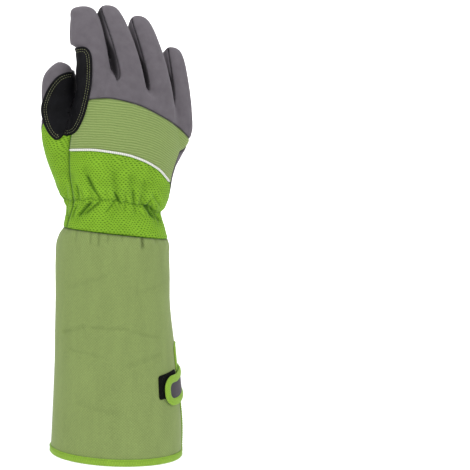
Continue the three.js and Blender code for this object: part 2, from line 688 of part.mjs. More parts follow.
// The two facing sides of neighbouring fingers and the web between them.
function betweenFingers({ from, web }, gap) {
  const { right } = FINGER_SEAMS[from];
  const { left } = FINGER_SEAMS[from + 1];
  const sides = join([
    loft(fingerWedge(FINGERS[from], right - SIDE_STRIP, right, gap)),
    loft(fingerWedge(FINGERS[from + 1], left, left + SIDE_STRIP, gap)),
  ]);
  const above = [
    { x: SIDE_LIMIT, z: web },
    { x: FRONT_LIMIT, z: web },
    { x: FRONT_LIMIT, z: 2 },
    { x: SIDE_LIMIT, z: 2 },
  ];
  return sides.intersect(prism(above, gap));
}

// The piece itself, without any scrap that a cut leaves loose.
const larger = (best, one) => (one.volume() > best.volume() ? one : best);
const largest = (solid) => solid.decompose().reduce(larger);

// The largest piece that is left of a solid when others are taken away.
const cutAway = (solid, others) => largest(others.reduce((rest, other) => rest.subtract(other), solid));

const glove = new THREE.Group();

function addPiece(name, solid, { colour, roughness }) {
  const mesh = solid.getMesh();
  const points = new Float32Array(mesh.numVert * 3);
  for (let i = 0; i < mesh.numVert; i += 1)
    points.set(mesh.vertProperties.subarray(i * mesh.numProp, i * mesh.numProp + 3), i * 3);
  const geometry = new THREE.BufferGeometry();
  geometry.setAttribute("position", new THREE.BufferAttribute(points, 3));
  geometry.setIndex(new THREE.BufferAttribute(mesh.triVerts, 1));
  const finish = new THREE.MeshStandardMaterial({ color: colour, roughness, metalness: 0 });
  const piece = new THREE.Mesh(geometry, finish);
  piece.name = name;
  glove.add(piece);
}

const pipingHeight = PIPING_SEAM[0].z;
const seamEnd = [
  { x: 0.6, z: 0.2 },
  { x: FRONT_LIMIT, z: 0.2 },
];
const thumbOutline = [
  ...THUMB_SEAM,
  { x: SIDE_LIMIT, z: 0.8 },
  { x: SIDE_LIMIT, z: 1.25 },
  { x: -0.4, z: 1.25 },
];
const sideOutline = [
  ...SIDE_SEAM.slice(1),
  { x: SIDE_LIMIT, z: LOW_LIMIT },
  { x: SIDE_LIMIT, z: 0.8 },
  ...THUMB_SEAM.slice(SIDE_PANEL_TOP).reverse(),
];
const wristOutline = [
  ...PIPING_SEAM,
  ...seamEnd,
  { x: FRONT_LIMIT, z: LOW_LIMIT },
  { x: SIDE_SEAM.at(-1).x, z: LOW_LIMIT },
  ...SIDE_SEAM.filter((row) => row.z < pipingHeight).reverse(),
];
const elasticOutline = [
  ...KNUCKLE_SEAM,
  ...[...PIPING_SEAM, ...seamEnd].reverse(),
  ...SIDE_SEAM.filter((row) => row.z > pipingHeight).reverse(),
];

const shell = handForm(0).subtract(handForm(SUEDE_WALL, OPEN_END));
const backCloth = shell.intersect(front(0));
const thumbCut = prism(thumbOutline, SEAM_GAP);
const sideCut = prism(sideOutline, SEAM_GAP);
const wristCut = prism(wristOutline, SEAM_GAP);
const elasticCut = prism(elasticOutline, SEAM_GAP);
const stripCuts = FOURCHETTES.map((row) => betweenFingers(row, SEAM_GAP));

const SUEDE = { colour: 0x6f6a70, roughness: 0.95 };
const MESH_CLOTH = { colour: 0x7fb02c, roughness: 0.85 };
const CANVAS = { colour: 0x94a863, roughness: 0.9 };
const PATCH_CLOTH = { colour: 0x14141a, roughness: 0.7 };
const TAPE = { colour: 0x9ccb3c, roughness: 0.8 };
const CORD = { colour: 0xf2f2ee, roughness: 0.6 };

const otherCloth = [thumbCut, sideCut, wristCut, elasticCut, ...stripCuts];
addPiece("back_panel", cutAway(backCloth, otherCloth), SUEDE);
addPiece("palm_panel", cutAway(shell, [front(SEAM_GAP), thumbCut, ...stripCuts]), SUEDE);
addPiece("thumb_shell", largest(shell.intersect(prism(thumbOutline))), SUEDE);
FOURCHETTES.forEach((row, i) => {
  const strip = shell.intersect(betweenFingers(row, 0));
  addPiece(row.name, cutAway(strip, stripCuts.slice(0, i)), SUEDE);
});
addPiece("side_panel", cutAway(backCloth.intersect(prism(sideOutline)), [thumbCut]), MESH_CLOTH);
addPiece("wrist_panel", cutAway(backCloth.intersect(prism(wristOutline)), [sideCut]), MESH_CLOTH);
addPiece("elastic_panel", cutAway(backCloth.intersect(prism(elasticOutline)), [sideCut, wristCut]), CANVAS);

const patchLayer = handForm(-SEAM_GAP - PATCH_WALL).subtract(handForm(-SEAM_GAP));
addPiece("thumb_patch", largest(patchLayer.intersect(prism(THUMB_PATCH, 0, THUMB_FRONT))), PATCH_CLOTH);
addPiece(
  "index_patch",
  cutAway(patchLayer.intersect(front(0)).intersect(prism(INDEX_PATCH)), [prism(THUMB_PATCH, SEAM_GAP)]),
  PATCH_CLOTH,
);

addPiece("piping", cutAway(pipingForm(), [handForm(-SEAM_GAP)]), CORD);

const sleeve = cuffForm(0).subtract(cuffForm(CUFF_WALL, OPEN_END));
addPiece("cuff_sleeve", largest(sleeve.subtract(cuffOpening(0))), CANVAS);
const wrap = SEAM_GAP + BINDING_WALL;
const tape = cuffForm(-wrap, wrap).subtract(cuffForm(CUFF_WALL + wrap, OPEN_END));
const clothHollow = cuffForm(CUFF_WALL + SEAM_GAP, 2 * OPEN_END);
const clothInTape = cuffForm(-SEAM_GAP, OPEN_END).subtract(clothHollow).subtract(cuffOpening(-SEAM_GAP));
const binding = tape.intersect(cuffOpening(BINDING_WIDTH)).subtract(cuffOpening(-wrap)).subtract(clothInTape);
addPiece("cuff_binding", largest(binding), TAPE);

const loopSteps = [0, 0.2, 0.4, 0.6, 0.8, 1].map((share) => share * LOOP_LENGTH);
const loopPoint = (along, across, side) => {
  const height = TAB_HEIGHT + along * TAB_RISE + (across * LOOP_WIDTH) / 2;
  return cuffPoint(rad(LOOP_ANGLE), -along, height, SEAM_GAP + side * LOOP_WALL);
};
addPiece("loop_patch", slab(loopSteps, [-1, 0, 1], loopPoint), PATCH_CLOTH);
addPiece("closure_tab", tabForm(TAB_BORDER, 0, TAB_WALL), SUEDE);
const tabHole = tabForm(TAB_BORDER - SEAM_GAP, -CUT_PAST, TAB_WALL + CUT_PAST);
addPiece("tab_binding", tabForm(0, 0, TAB_WALL + TAB_EDGE).subtract(tabHole), TAPE);

export default glove;
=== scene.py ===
"""A rose pruning gauntlet for the right hand, seen from its back.

It is a glove of suede, stretch cloth and mesh with a long canvas cuff.
"""

import math

import bmesh
import bpy
import numpy as np
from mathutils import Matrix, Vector
from mathutils.bvhtree import BVHTree


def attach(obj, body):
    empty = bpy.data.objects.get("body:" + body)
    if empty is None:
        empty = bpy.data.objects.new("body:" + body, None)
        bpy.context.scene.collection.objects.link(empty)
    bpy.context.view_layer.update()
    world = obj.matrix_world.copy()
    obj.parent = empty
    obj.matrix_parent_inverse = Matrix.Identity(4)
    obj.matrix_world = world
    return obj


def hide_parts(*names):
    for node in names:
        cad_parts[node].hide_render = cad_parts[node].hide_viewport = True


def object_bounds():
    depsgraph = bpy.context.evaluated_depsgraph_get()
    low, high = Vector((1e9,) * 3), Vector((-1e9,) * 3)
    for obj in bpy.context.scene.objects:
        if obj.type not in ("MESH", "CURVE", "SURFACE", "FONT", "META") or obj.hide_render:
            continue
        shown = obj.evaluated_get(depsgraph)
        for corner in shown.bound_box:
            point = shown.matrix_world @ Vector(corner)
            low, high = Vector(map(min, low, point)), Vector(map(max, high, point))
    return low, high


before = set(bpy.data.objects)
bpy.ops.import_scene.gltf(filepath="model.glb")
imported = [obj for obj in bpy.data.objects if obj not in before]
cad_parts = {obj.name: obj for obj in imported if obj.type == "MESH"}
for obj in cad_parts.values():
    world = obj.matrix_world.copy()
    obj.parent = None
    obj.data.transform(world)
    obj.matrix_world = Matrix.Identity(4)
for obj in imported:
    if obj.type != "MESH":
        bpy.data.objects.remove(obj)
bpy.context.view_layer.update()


# The hand
# A glove's hand is one close skin: a flattened tube over the palm, four finger tubes and a thumb.
# The cloth panels are cut out of this skin along their seams, so that they meet edge to edge as sewn ones do.
# Lengths are in millimetres here and become metres when a mesh is made.
MM = 0.001
HAND_LENGTH = 146
WRIST_WIDTH = 106
WRIST_DEPTH = 72
PALM_WIDTH = 118
PALM_DEPTH = 37
FINGER_LENGTH = 100
FINGER_WIDTH = 29.5
FINGER_DEPTH = 26
FINGER_CURL = 36
THUMB_LENGTH = 155
THUMB_WIDTH = 32
THUMB_DEPTH = 27
CUFF_LENGTH = 223
PALM_SQUARENESS = 2.35
FINGER_BEND = 1.6
ROOT_SINK = 0.5
THUMB_BASE = 0.1
HAND_TOP = 1.09  # where the webs between the fingers end, in shares of the hand's length
SKIN_GRAIN = 1.1  # distance between the skin's points
HAND_START = -0.06
FINGER_START = -0.6  # a finger begins inside the palm
RINGS = 70
PALM_SIDES = 120
THUMB_SIDES = 64
FINGER_SIDES = 56
KNUCKLES_BEGIN = (325, 345)
KNUCKLES_END = (375, 392)


def table(names, *rows):
    """A table of numbers as named columns."""
    return dict(zip(names.split(), np.array(rows, float).T))


HAND_SECTIONS = table(
    "at x width depth grow arch turn tilt seam",
    (0.0, -0.004, 1.0, 1.0, 0, 0, 14, 7, -8),
    (0.072, -0.008, 0.953, 0.93, 0, 0, 15, 6, -8),
    (0.14, -0.018, 0.899, 0.86, 0, 0, 16, 4, -8),
    (0.202, 0.0, 0.93, 0.87, 0, 0.02, 17, 5, -6),
    (0.305, 0.022, 0.9, 1.54, 1, 0.06, 19, 7, 16),
    (0.442, 0.038, 0.955, 1.4, 1, 0.12, 21, 10, 26),
    (0.579, 0.078, 0.995, 1.27, 1, 0.18, 23, 13, 25),
    (0.716, 0.115, 1.03, 1.15, 1, 0.22, 24, 16, 17),
    (0.839, 0.145, 1.025, 1.04, 1, 0.25, 25, 20, 11),
    (0.921, 0.155, 0.99, 0.9, 1, 0.27, 25, 22, 15),
    (0.965, 0.154, 0.96, 0.7, 1, 0.24, 25, 22.6, 15),
    (1.0, 0.153, 0.93, 0.36, 1, 0.1, 25, 23, 15),
    (1.09, 0.153, 0.86, 0.16, 1, -0.1, 25, 23, 15),
)
FINGERS = table(
    "root across ahead turn right left long wide deep curl lean",
    (0.83, -0.383, 0.08, 18, 22, 205, 0.868, 1.09, 1.06, 0.83, -0.048),
    (0.83, -0.05, 0.26, 24, 22, 140, 1.025, 1.02, 1.0, 1.0, -0.146),
    (0.83, 0.233, 0.26, 30, 22, 152, 1.05, 0.97, 0.98, 1.0, -0.083),
    (0.83, 0.462, 0.08, 36, 28, 145, 0.838, 0.86, 0.9, 0.61, 0.044),
)
FINGER_TAPER = table(
    "at girth",
    (-0.6, 0.45), (-0.25, 0.86), (0.05, 1.0), (0.4, 0.99), (0.7, 0.94), (0.88, 0.83), (0.96, 0.6),
    (1.0, 0.16),
)
THUMB_SECTIONS = table(
    "at x y wide deep",
    (0.0, -0.195, 0.034, 1.0, 1.2),
    (0.116, -0.271, 0.017, 1.25, 1.33),
    (0.27, -0.339, -0.004, 1.41, 1.41),
    (0.426, -0.398, -0.017, 1.5, 1.33),
    (0.568, -0.402, -0.017, 1.66, 1.22),
    (0.697, -0.453, -0.017, 1.22, 1.11),
    (0.8, -0.478, -0.017, 1.09, 1.05),
    (0.89, -0.473, -0.017, 1.05, 1.0),
    (0.95, -0.477, -0.017, 0.74, 0.82),
    (0.985, -0.483, -0.017, 0.42, 0.52),
    (1.0, -0.49, -0.017, 0.12, 0.15),
)


def column(rows, name, at):
    """One column of a table on a smooth curve: cubic pieces with slopes from the rows on either side."""
    places, values = rows["at"], rows[name]
    last = len(places) - 1
    i = np.clip(np.searchsorted(places[1:], at), 0, last - 1)

    def slope(k):
        before, after = np.maximum(k - 1, 0), np.minimum(k + 1, last)
        return (values[after] - values[before]) / (places[after] - places[before])

    span = places[i + 1] - places[i]
    t = np.clip((at - places[i]) / span, 0, 1)
    rise = values[i + 1] - values[i]
    bend = (slope(i) * span - rise) * (1 - t) - (slope(i + 1) * span - rise) * t
    return values[i] + t * (rise + (1 - t) * bend)


def facing(turn, tilt):
    """Unit directions across a section and out of its back, turned about Z and tilted, in degrees."""
    turn, tilt = np.radians(turn), np.radians(tilt) + 0 * np.asarray(turn)
    across = np.stack([np.cos(turn) * np.cos(tilt), np.sin(turn) * np.cos(tilt), -np.sin(tilt)], -1)
    out = np.stack([np.sin(turn), -np.cos(turn), 0 * turn], -1)
    return across, out


def unit(vectors):
    """Vectors brought to length one."""
    return vectors / np.maximum(np.linalg.norm(vectors, axis=-1, keepdims=True), 1e-9)


def smooth(value, low, high):
    """0 below low, 1 above high and a smooth S between."""
    t = np.clip((value - low) / (high - low), 0, 1)
    return t * t * (3 - 2 * t)


def bell(value, wide, middle=0.0):
    """1 at the middle, and less and less on both sides of it: a Gaussian."""
    return np.exp(-(((value - middle) / wide) ** 2))


def hand_section(at):
    """Centre, directions and sizes of the palm's outline at shares of the hand's length."""
    at = np.asarray(at, float)
    grow = column(HAND_SECTIONS, "grow", at)
    across, out = facing(column(HAND_SECTIONS, "turn", at), column(HAND_SECTIONS, "tilt", at))
    x = column(HAND_SECTIONS, "x", at) * PALM_WIDTH
    return {
        "centre": np.stack([x, 0 * at, CUFF_LENGTH + at * HAND_LENGTH], -1),
        "across": across,
        "out": out,
        "width": column(HAND_SECTIONS, "width", at) * (WRIST_WIDTH + grow * (PALM_WIDTH - WRIST_WIDTH)),
        "depth": column(HAND_SECTIONS, "depth", at) * (WRIST_DEPTH + grow * (PALM_DEPTH - WRIST_DEPTH)),
        "arch": column(HAND_SECTIONS, "arch", at) * PALM_DEPTH,
        "square": PALM_SQUARENESS,
    }


def finger_section(finger, at):
    """The same across a finger, whose middle line bends to the palm with a power of the height."""
    low, high = np.minimum(at, 0), np.maximum(at, 0)
    length = finger["long"] * FINGER_LENGTH
    base = hand_section(finger["root"] + low * length / HAND_LENGTH)
    across, out = facing(finger["turn"], 0)
    shift = across * finger["lean"] * FINGER_LENGTH - out * finger["curl"] * FINGER_CURL
    sunk = (finger["ahead"] + low * ROOT_SINK)[..., None] * PALM_DEPTH
    centre = base["centre"] + base["across"] * finger["across"] * PALM_WIDTH + base["out"] * sunk
    centre = centre + shift * high[..., None] ** FINGER_BEND
    centre[..., 2] += high * length
    along = np.array([0, 0, length]) + shift * FINGER_BEND * high[..., None] ** (FINGER_BEND - 1)
    speed = np.linalg.norm(along, axis=-1)
    along = unit(along)
    level = unit(across - along * (along @ across)[..., None])
    girth = column(FINGER_TAPER, "girth", at)
    return {
        "centre": centre,
        "across": level,
        "out": unit(np.cross(level, along)),
        "along": along,
        "speed": speed,
        "width": girth * finger["wide"] * FINGER_WIDTH,
        "depth": girth * finger["deep"] * FINGER_DEPTH,
        "arch": 0 * at,
        "square": PALM_SQUARENESS,
    }


def thumb_section(at):
    """The same across the thumb, which stands upright beside the palm."""
    across, out = facing(0 * at, 0)
    x, y = (column(THUMB_SECTIONS, name, at) * PALM_WIDTH for name in ("x", "y"))
    return {
        "centre": np.stack([x, y, CUFF_LENGTH + THUMB_BASE * HAND_LENGTH + at * THUMB_LENGTH], -1),
        "across": across,
        "out": out,
        "width": column(THUMB_SECTIONS, "wide", at) * THUMB_WIDTH,
        "depth": column(THUMB_SECTIONS, "deep", at) * THUMB_DEPTH,
        "arch": 0 * at,
        "square": PALM_SQUARENESS,
    }


def outline(section, angle, lift=0.0):
    """Points of a rounded outline: x and y are powers of cosine and sine (a superellipse), and an arched one
    rises in the middle. The angle is 0 on the little finger's side and 90 degrees on the back of the hand."""
    power = 2 / section["square"]
    c, s = np.cos(angle), np.sin(angle)
    share = np.sign(c) * np.abs(c) ** power
    x = share * (section["width"] / 2 + lift)
    y = np.sign(s) * np.abs(s) ** power * (section["depth"] / 2 + lift)
    y = y + section["arch"] * (0.5 - share**2)
    return section["centre"] + section["across"] * x[..., None] + section["out"] * y[..., None]


def tube(make, at, sides):
    """The outlines at all places along a part as one grid of points."""
    angle = np.arange(sides) * 2 * np.pi / sides
    places, angles = np.meshgrid(at, angle, indexing="ij")
    return outline(make(places), angles)


def wound(rings, sides, closed=False, around=True):
    """Quads between the neighbouring points of a grid, facing outwards. Each ring closes on itself if it goes
    around, and the last ring joins the first if the grid is closed."""
    i, k = np.meshgrid(np.arange(rings - (not closed)), np.arange(sides - (not around)), indexing="ij")
    i, k, up, turn = i.ravel(), k.ravel(), (i.ravel() + 1) % rings, (k.ravel() + 1) % sides
    return np.stack([i * sides + k, up * sides + k, up * sides + turn, i * sides + turn], -1)


def halves(quads):
    """Each quad as two triangles."""
    return np.vstack([quads[:, [0, 1, 2]], quads[:, [0, 2, 3]]])


def capped(grid):
    """A closed tube: the quads of a grid and a fan of triangles over each end."""
    rings, sides = grid.shape[:2]
    points = np.vstack([grid.reshape(-1, 3), grid[0].mean(0), grid[-1].mean(0)])
    k = np.arange(sides)
    turn = (k + 1) % sides
    top = (rings - 1) * sides
    low_fan = np.stack([0 * k + rings * sides, k, turn], -1)
    high_fan = np.stack([0 * k + rings * sides + 1, top + turn, top + k], -1)
    return points, np.vstack([halves(wound(rings, sides)), low_fan, high_fan])


def sides_of(triangles):
    """The three sides of every triangle."""
    return np.vstack([triangles[:, [0, 1]], triangles[:, [1, 2]], triangles[:, [2, 0]]])


def put_mesh(name, points, faces):
    """A mesh object from points in millimetres and faces, smooth shaded."""
    mesh = bpy.data.meshes.new(name)
    mesh.from_pydata((points * MM).tolist(), [], faces.tolist())
    mesh.polygons.foreach_set("use_smooth", np.ones(len(mesh.polygons), bool))
    mesh.update()
    piece = bpy.data.objects.new(name, mesh)
    bpy.context.scene.collection.objects.link(piece)
    return piece


def joined(parts):
    """Several lists of points and faces as one."""
    starts = np.cumsum([0] + [len(points) for points, _ in parts[:-1]])
    return np.vstack([points for points, _ in parts]), np.vstack([f + s for (_, f), s in zip(parts, starts)])


def pulled_points(points, edges, weight, rounds):
    """Each point moves towards the mean of its neighbours, by its own weight, again and again."""
    both = np.vstack([edges, edges[:, ::-1]])
    count = np.maximum(np.bincount(both[:, 0], minlength=len(points)), 1)
    for _ in range(rounds):
        mean = np.stack([np.bincount(both[:, 0], points[both[:, 1], k], len(points)) for k in range(3)], -1)
        points = points + weight[:, None] * (mean / count[:, None] - points)
    return points


def face_normals(points, faces):
    """Normals at the points, as the sum of the normals of the triangles around them."""
    a, b, c = (points[faces[:, k]] for k in range(3))
    cross = np.cross(b - a, c - a)
    total = sum(
        np.stack([np.bincount(faces[:, k], cross[:, j], len(points)) for j in range(3)], -1) for k in range(3)
    )
    return unit(total)


fingers = [{name: values[i] for name, values in FINGERS.items()} for i in range(4)]
parts = [capped(tube(hand_section, np.linspace(HAND_START, HAND_TOP, RINGS), PALM_SIDES))]
parts.append(capped(tube(thumb_section, np.linspace(0, 1, RINGS), THUMB_SIDES)))
for finger in fingers:
    along = np.linspace(FINGER_START, 1, RINGS)
    parts.append(capped(tube(lambda at: finger_section(finger, at), along, FINGER_SIDES)))
rough = put_mesh("rough_skin", *joined(parts))
fuse = rough.modifiers.new("fuse", "REMESH")
fuse.mode = "VOXEL"
fuse.voxel_size = SKIN_GRAIN * MM
fused = rough.evaluated_get(bpy.context.evaluated_depsgraph_get()).to_mesh()
skin = np.zeros(len(fused.vertices) * 3)
fused.vertices.foreach_get("co", skin)
skin = skin.reshape(-1, 3) / MM
fused.calc_loop_triangles()
cloth = np.zeros(len(fused.loop_triangles) * 3, np.int32)
fused.loop_triangles.foreach_get("vertices", cloth)
cloth = cloth.reshape(-1, 3)
bpy.data.objects.remove(rough)

# The skin settles over the knuckles, and less so elsewhere
edges = np.unique(np.sort(sides_of(cloth), axis=1), axis=0)
skin = pulled_points(skin, edges, np.full(len(skin), 0.5), 6)
knuckles = smooth(skin[:, 2], *KNUCKLES_BEGIN) * (1 - smooth(skin[:, 2], *KNUCKLES_END))
skin = pulled_points(skin, edges, 0.6 * knuckles, 10)


# The seams
# Every seam is a line on the skin where a field changes its sign: the field is about the distance to it.
# The seams on the back of the hand are drawn as the eye sees them from there, x across and z up.
KNUCKLE_SEAM = table(
    "x z",
    (-0.42, 0.885), (-0.295, 0.895), (-0.221, 0.9), (-0.139, 0.907), (-0.046, 0.909), (0.065, 0.893),
    (0.172, 0.87), (0.256, 0.844), (0.34, 0.81), (0.493, 0.74), (0.604, 0.662), (0.8, 0.5),
)
PIPING_SEAM = table(
    "x z",
    (-0.386, 0.569), (-0.279, 0.571), (-0.177, 0.57), (-0.049, 0.557), (0.085, 0.538), (0.173, 0.516),
    (0.253, 0.489), (0.316, 0.46), (0.377, 0.423), (0.451, 0.351), (0.6, 0.2),
)
SIDE_SEAM = table(
    "x z",
    (-0.435, -0.05), (-0.403, 0.087), (-0.357, 0.202), (-0.368, 0.303), (-0.385, 0.389), (-0.39, 0.522),
    (-0.379, 0.649), (-0.329, 0.781),
)
THUMB_SEAM = table(
    "x z",
    (-0.377, 1.186), (-0.36, 1.125), (-0.34, 1.065), (-0.334, 1.011), (-0.346, 0.937), (-0.381, 0.822),
    (-0.415, 0.729), (-0.439, 0.689), (-0.451, 0.672), (-0.484, 0.655), (-0.531, 0.675), (-0.573, 0.722),
    (-0.599, 0.776), (-0.8, 0.8), (-0.95, 0.8), (-0.95, 1.25), (-0.4, 1.25),
)
PATCH_RIGHT = table(
    "x z",
    (-0.39, 1.235), (-0.345, 1.247), (-0.262, 1.25), (-0.221, 1.228), (-0.2, 1.188), (-0.193, 1.121),
    (-0.195, 1.029), (-0.208, 0.951), (-0.229, 0.873), (-0.258, 0.794), (-0.295, 0.728), (-0.337, 0.682),
    (-0.397, 0.663), (-0.435, 0.665),
)
PATCH_LEFT = table(
    "x z",
    (-0.46, 0.643), (-0.493, 0.634), (-0.535, 0.655), (-0.577, 0.702), (-0.607, 0.769), (-0.62, 0.85),
    (-0.592, 0.929), (-0.545, 1.002), (-0.481, 1.06), (-0.414, 1.086), (-0.37, 1.09),
)
PATCH_BORDER = table(
    "x z",
    (-0.437, 0.6), (-0.431, 0.672), (-0.405, 0.722), (-0.377, 0.822), (-0.345, 0.937), (-0.334, 1.011),
    (-0.336, 1.07), (-0.345, 1.3),
)
WEB_HEIGHTS = (1.0, 0.915, 0.835)  # where the strips between the fingers begin
WEB_SOFTNESS = 2.5
SIDE_STRIP = 54  # how far a strip reaches round its finger, in degrees
STRIP_END = 0.955
SEAM_CLOSING = 18  # how far the seams of a finger draw together at its root, in degrees
SEAM_HELD_BACK = 30  # keeps the fingers' seams out of the palm
SIDE_EDGE = -0.49
THUMB_FRONT = 3  # the thumb's patch ends so far behind its middle
FAR_OUTSIDE = -20.0


def drawn(line):
    """A seam's table as points in millimetres, x from the middle of the cuff's mouth and z from its plane."""
    return np.stack([line["x"] * PALM_WIDTH, CUFF_LENGTH + line["z"] * HAND_LENGTH], -1)


def rounded(points, closed, steps=6):
    """More points on a smooth curve through the given ones (each piece a Catmull-Rom cubic)."""
    ring = np.vstack([points[-1:], points, points[:2]])
    if not closed:
        ring = np.vstack([2 * points[0] - points[1], points, 2 * points[-1] - points[-2]])
    t = (np.arange(steps) / steps)[None, :, None]
    a, b, c, d = (ring[k : len(ring) - 3 + k, None] for k in range(4))
    curve = b + t / 2 * (c - a + t * (2 * a - 5 * b + 4 * c - d + t * (3 * (b - c) + d - a)))
    curve = curve.reshape(-1, 2)
    return curve if closed else np.vstack([curve, points[-1:]])


def inside_distance(shape, x, z):
    """Distance to a closed outline, positive inside it."""
    start, end = shape, np.roll(shape, -1, axis=0)
    side = end - start
    rel_x, rel_z = x[:, None] - start[:, 0], z[:, None] - start[:, 1]
    share = np.clip((rel_x * side[:, 0] + rel_z * side[:, 1]) / np.maximum((side**2).sum(1), 1e-9), 0, 1)
    distance = np.hypot(rel_x - share * side[:, 0], rel_z - share * side[:, 1]).min(1)
    crosses = (start[:, 1] > z[:, None]) != (end[:, 1] > z[:, None])
    meets = start[:, 0] + (z[:, None] - start[:, 1]) * side[:, 0] / np.where(side[:, 1] == 0, 1, side[:, 1])
    odd = (crosses & (x[:, None] < meets)).sum(1) % 2 == 1
    return np.where(odd, distance, -distance)


def height_over(line, x, z):
    """How far above a seam that runs across the hand a point lies, about at right angles to it."""
    curve = rounded(drawn(line), False)
    slope = np.gradient(curve[:, 1], curve[:, 0])
    return (z - np.interp(x, curve[:, 0], curve[:, 1])) / np.hypot(1, np.interp(x, curve[:, 0], slope))


def in_hand(points):
    """Where points lie in the palm's own outlines: share of its length, and places across and out of it."""
    at = (points[:, 2] - CUFF_LENGTH) / HAND_LENGTH
    for _ in range(3):
        section = hand_section(at)
        rel = points - section["centre"]
        x = (rel * section["across"]).sum(1)
        at = (points[:, 2] - CUFF_LENGTH - section["across"][:, 2] * x) / HAND_LENGTH
    return at, section, x, (rel * section["out"]).sum(1)


def on_finger(finger, points):
    """Where points lie on a finger: share of its length, angle round it, and distance out of it in girths."""
    at = (points[:, 2] - CUFF_LENGTH - finger["root"] * HAND_LENGTH) / (finger["long"] * FINGER_LENGTH)
    for _ in range(4):
        section = finger_section(finger, at)
        rel = points - section["centre"]
        at = np.clip(at + (rel * section["along"]).sum(1) / section["speed"], FINGER_START, 1.1)
    x = (rel * section["across"]).sum(1) / (finger["wide"] * FINGER_WIDTH / 2)
    y = (rel * section["out"]).sum(1) / (finger["deep"] * FINGER_DEPTH / 2)
    power = PALM_SQUARENESS / 2
    angle = np.degrees(np.arctan2(np.sign(y) * np.abs(y) ** power, np.sign(x) * np.abs(x) ** power))
    return at, np.where(angle < -90, angle + 360, angle), np.hypot(x, y)


def seam_fields(points):
    """The seams' fields at the points, one column each: thumb, back, fourchettes, side, piping, knuckles.
    Gives too a painted shade for how deep each point lies between two fingers, from 0 to 1."""
    x, y, z = points.T
    at, section, across, out = in_hand(points)
    lift = section["arch"] * (0.5 - (2 * across / section["width"]) ** 2)
    seam = np.radians(column(HAND_SECTIONS, "seam", at))
    power = 2 / PALM_SQUARENESS
    steep = np.tan(seam) * np.abs(np.tan(seam)) ** (power - 1) * section["depth"] / section["width"]
    middle = out - lift
    edge = middle - across * steep
    thumb_side = THUMB_FRONT * np.clip((x - section["centre"][:, 0]) / (SIDE_EDGE * PALM_WIDTH - 5), 0, 1) - y
    high = smooth(at, 0.45, 0.8)
    palm_edge = np.where(across > 0, edge, (1 - high) * thumb_side + high * middle)
    girth = math.pi / 180 * FINGER_WIDTH / 2
    backs, strips, nearness = [], [], []
    for finger in fingers:
        share, angle, far = on_finger(finger, points)
        closing = SEAM_CLOSING * (1 - smooth(share, 0.05, 0.42))
        right, left = finger["right"] - closing, finger["left"] + closing
        tip = (STRIP_END - share) * finger["long"] * FINGER_LENGTH
        backs.append(np.minimum(angle - right, left - angle) * girth)
        one = np.minimum(angle - right + SIDE_STRIP, right - angle) * girth
        other = np.minimum(angle - left, left + SIDE_STRIP - angle) * girth
        strips.append((np.minimum(one, tip), np.minimum(other, tip)))
        nearness.append(far)
    nearest = np.argmin(nearness, 0)
    low = 1 - smooth(at, 1.12, 1.25)
    crowded = 1 - smooth(np.sort(nearness, axis=0)[1] - 0.35 * low, 1.0, 1.42)
    back_of_finger = np.choose(nearest, backs)
    above = smooth(at, 0.9, 1.1)
    from_finger = back_of_finger - SEAM_HELD_BACK * (1 - smooth(at, 0.62, 0.86))
    back = (1 - above) * np.maximum(palm_edge, from_finger) + above * back_of_finger
    fourchettes = []
    for i, web in enumerate(WEB_HEIGHTS):
        strip = np.select([nearest == i, nearest == i + 1], [strips[i][0], strips[i + 1][1]], FAR_OUTSIDE)
        over_web = z - CUFF_LENGTH - web * HAND_LENGTH
        both = np.exp(-strip / WEB_SOFTNESS) + np.exp(-over_web / WEB_SOFTNESS)
        fourchettes.append(-WEB_SOFTNESS * np.log(both))
    side = rounded(drawn(SIDE_SEAM), False)
    fields = [
        inside_distance(rounded(drawn(THUMB_SEAM), True), x, z),
        back,
        *fourchettes,
        np.interp(z, side[:, 1], side[:, 0]) - x,
        -height_over(PIPING_SEAM, x, z),
        height_over(KNUCKLE_SEAM, x, z),
    ]
    # Painted shade where two fingers crowd together below their webs.
    valley_shade = crowded * smooth(np.max(fourchettes, 0), -2, 1.5)
    return np.stack(fields, -1), valley_shade


THUMB, BACK, WEBS, SIDE, PIPING, KNUCKLE = 0, 1, [2, 3, 4], 5, 6, 7


def cut_along(points, faces, values, field):
    """Splits every triangle that a field crosses at its zero line, so that the line becomes mesh edges."""
    level = np.where(np.abs(field) < 1e-3, 1e-3, field)
    high = level[faces] > 0
    count = high.sum(1)
    mixed = (count == 1) | (count == 2)
    lone = np.where(count[mixed] == 1, high[mixed].argmax(1), high[mixed].argmin(1))
    rows = np.arange(len(lone))
    split = faces[mixed]
    a, b, c = split[rows, lone], split[rows, (lone + 1) % 3], split[rows, (lone + 2) % 3]
    pairs = np.sort(np.vstack([np.stack([a, b], -1), np.stack([a, c], -1)]), axis=1)
    ends, index = np.unique(pairs, axis=0, return_inverse=True)
    index = index.reshape(-1) + len(points)
    ab, ac = index[: len(a)], index[len(a) :]
    t = (level[ends[:, 0]] / (level[ends[:, 0]] - level[ends[:, 1]]))[:, None]
    points = np.vstack([points, points[ends[:, 0]] * (1 - t) + points[ends[:, 1]] * t])
    values = np.vstack([values, values[ends[:, 0]] * (1 - t) + values[ends[:, 1]] * t])
    pieces = [faces[~mixed], np.stack([a, ab, ac], -1), np.stack([ab, b, c], -1), np.stack([ab, c, ac], -1)]
    return points, np.vstack(pieces), values


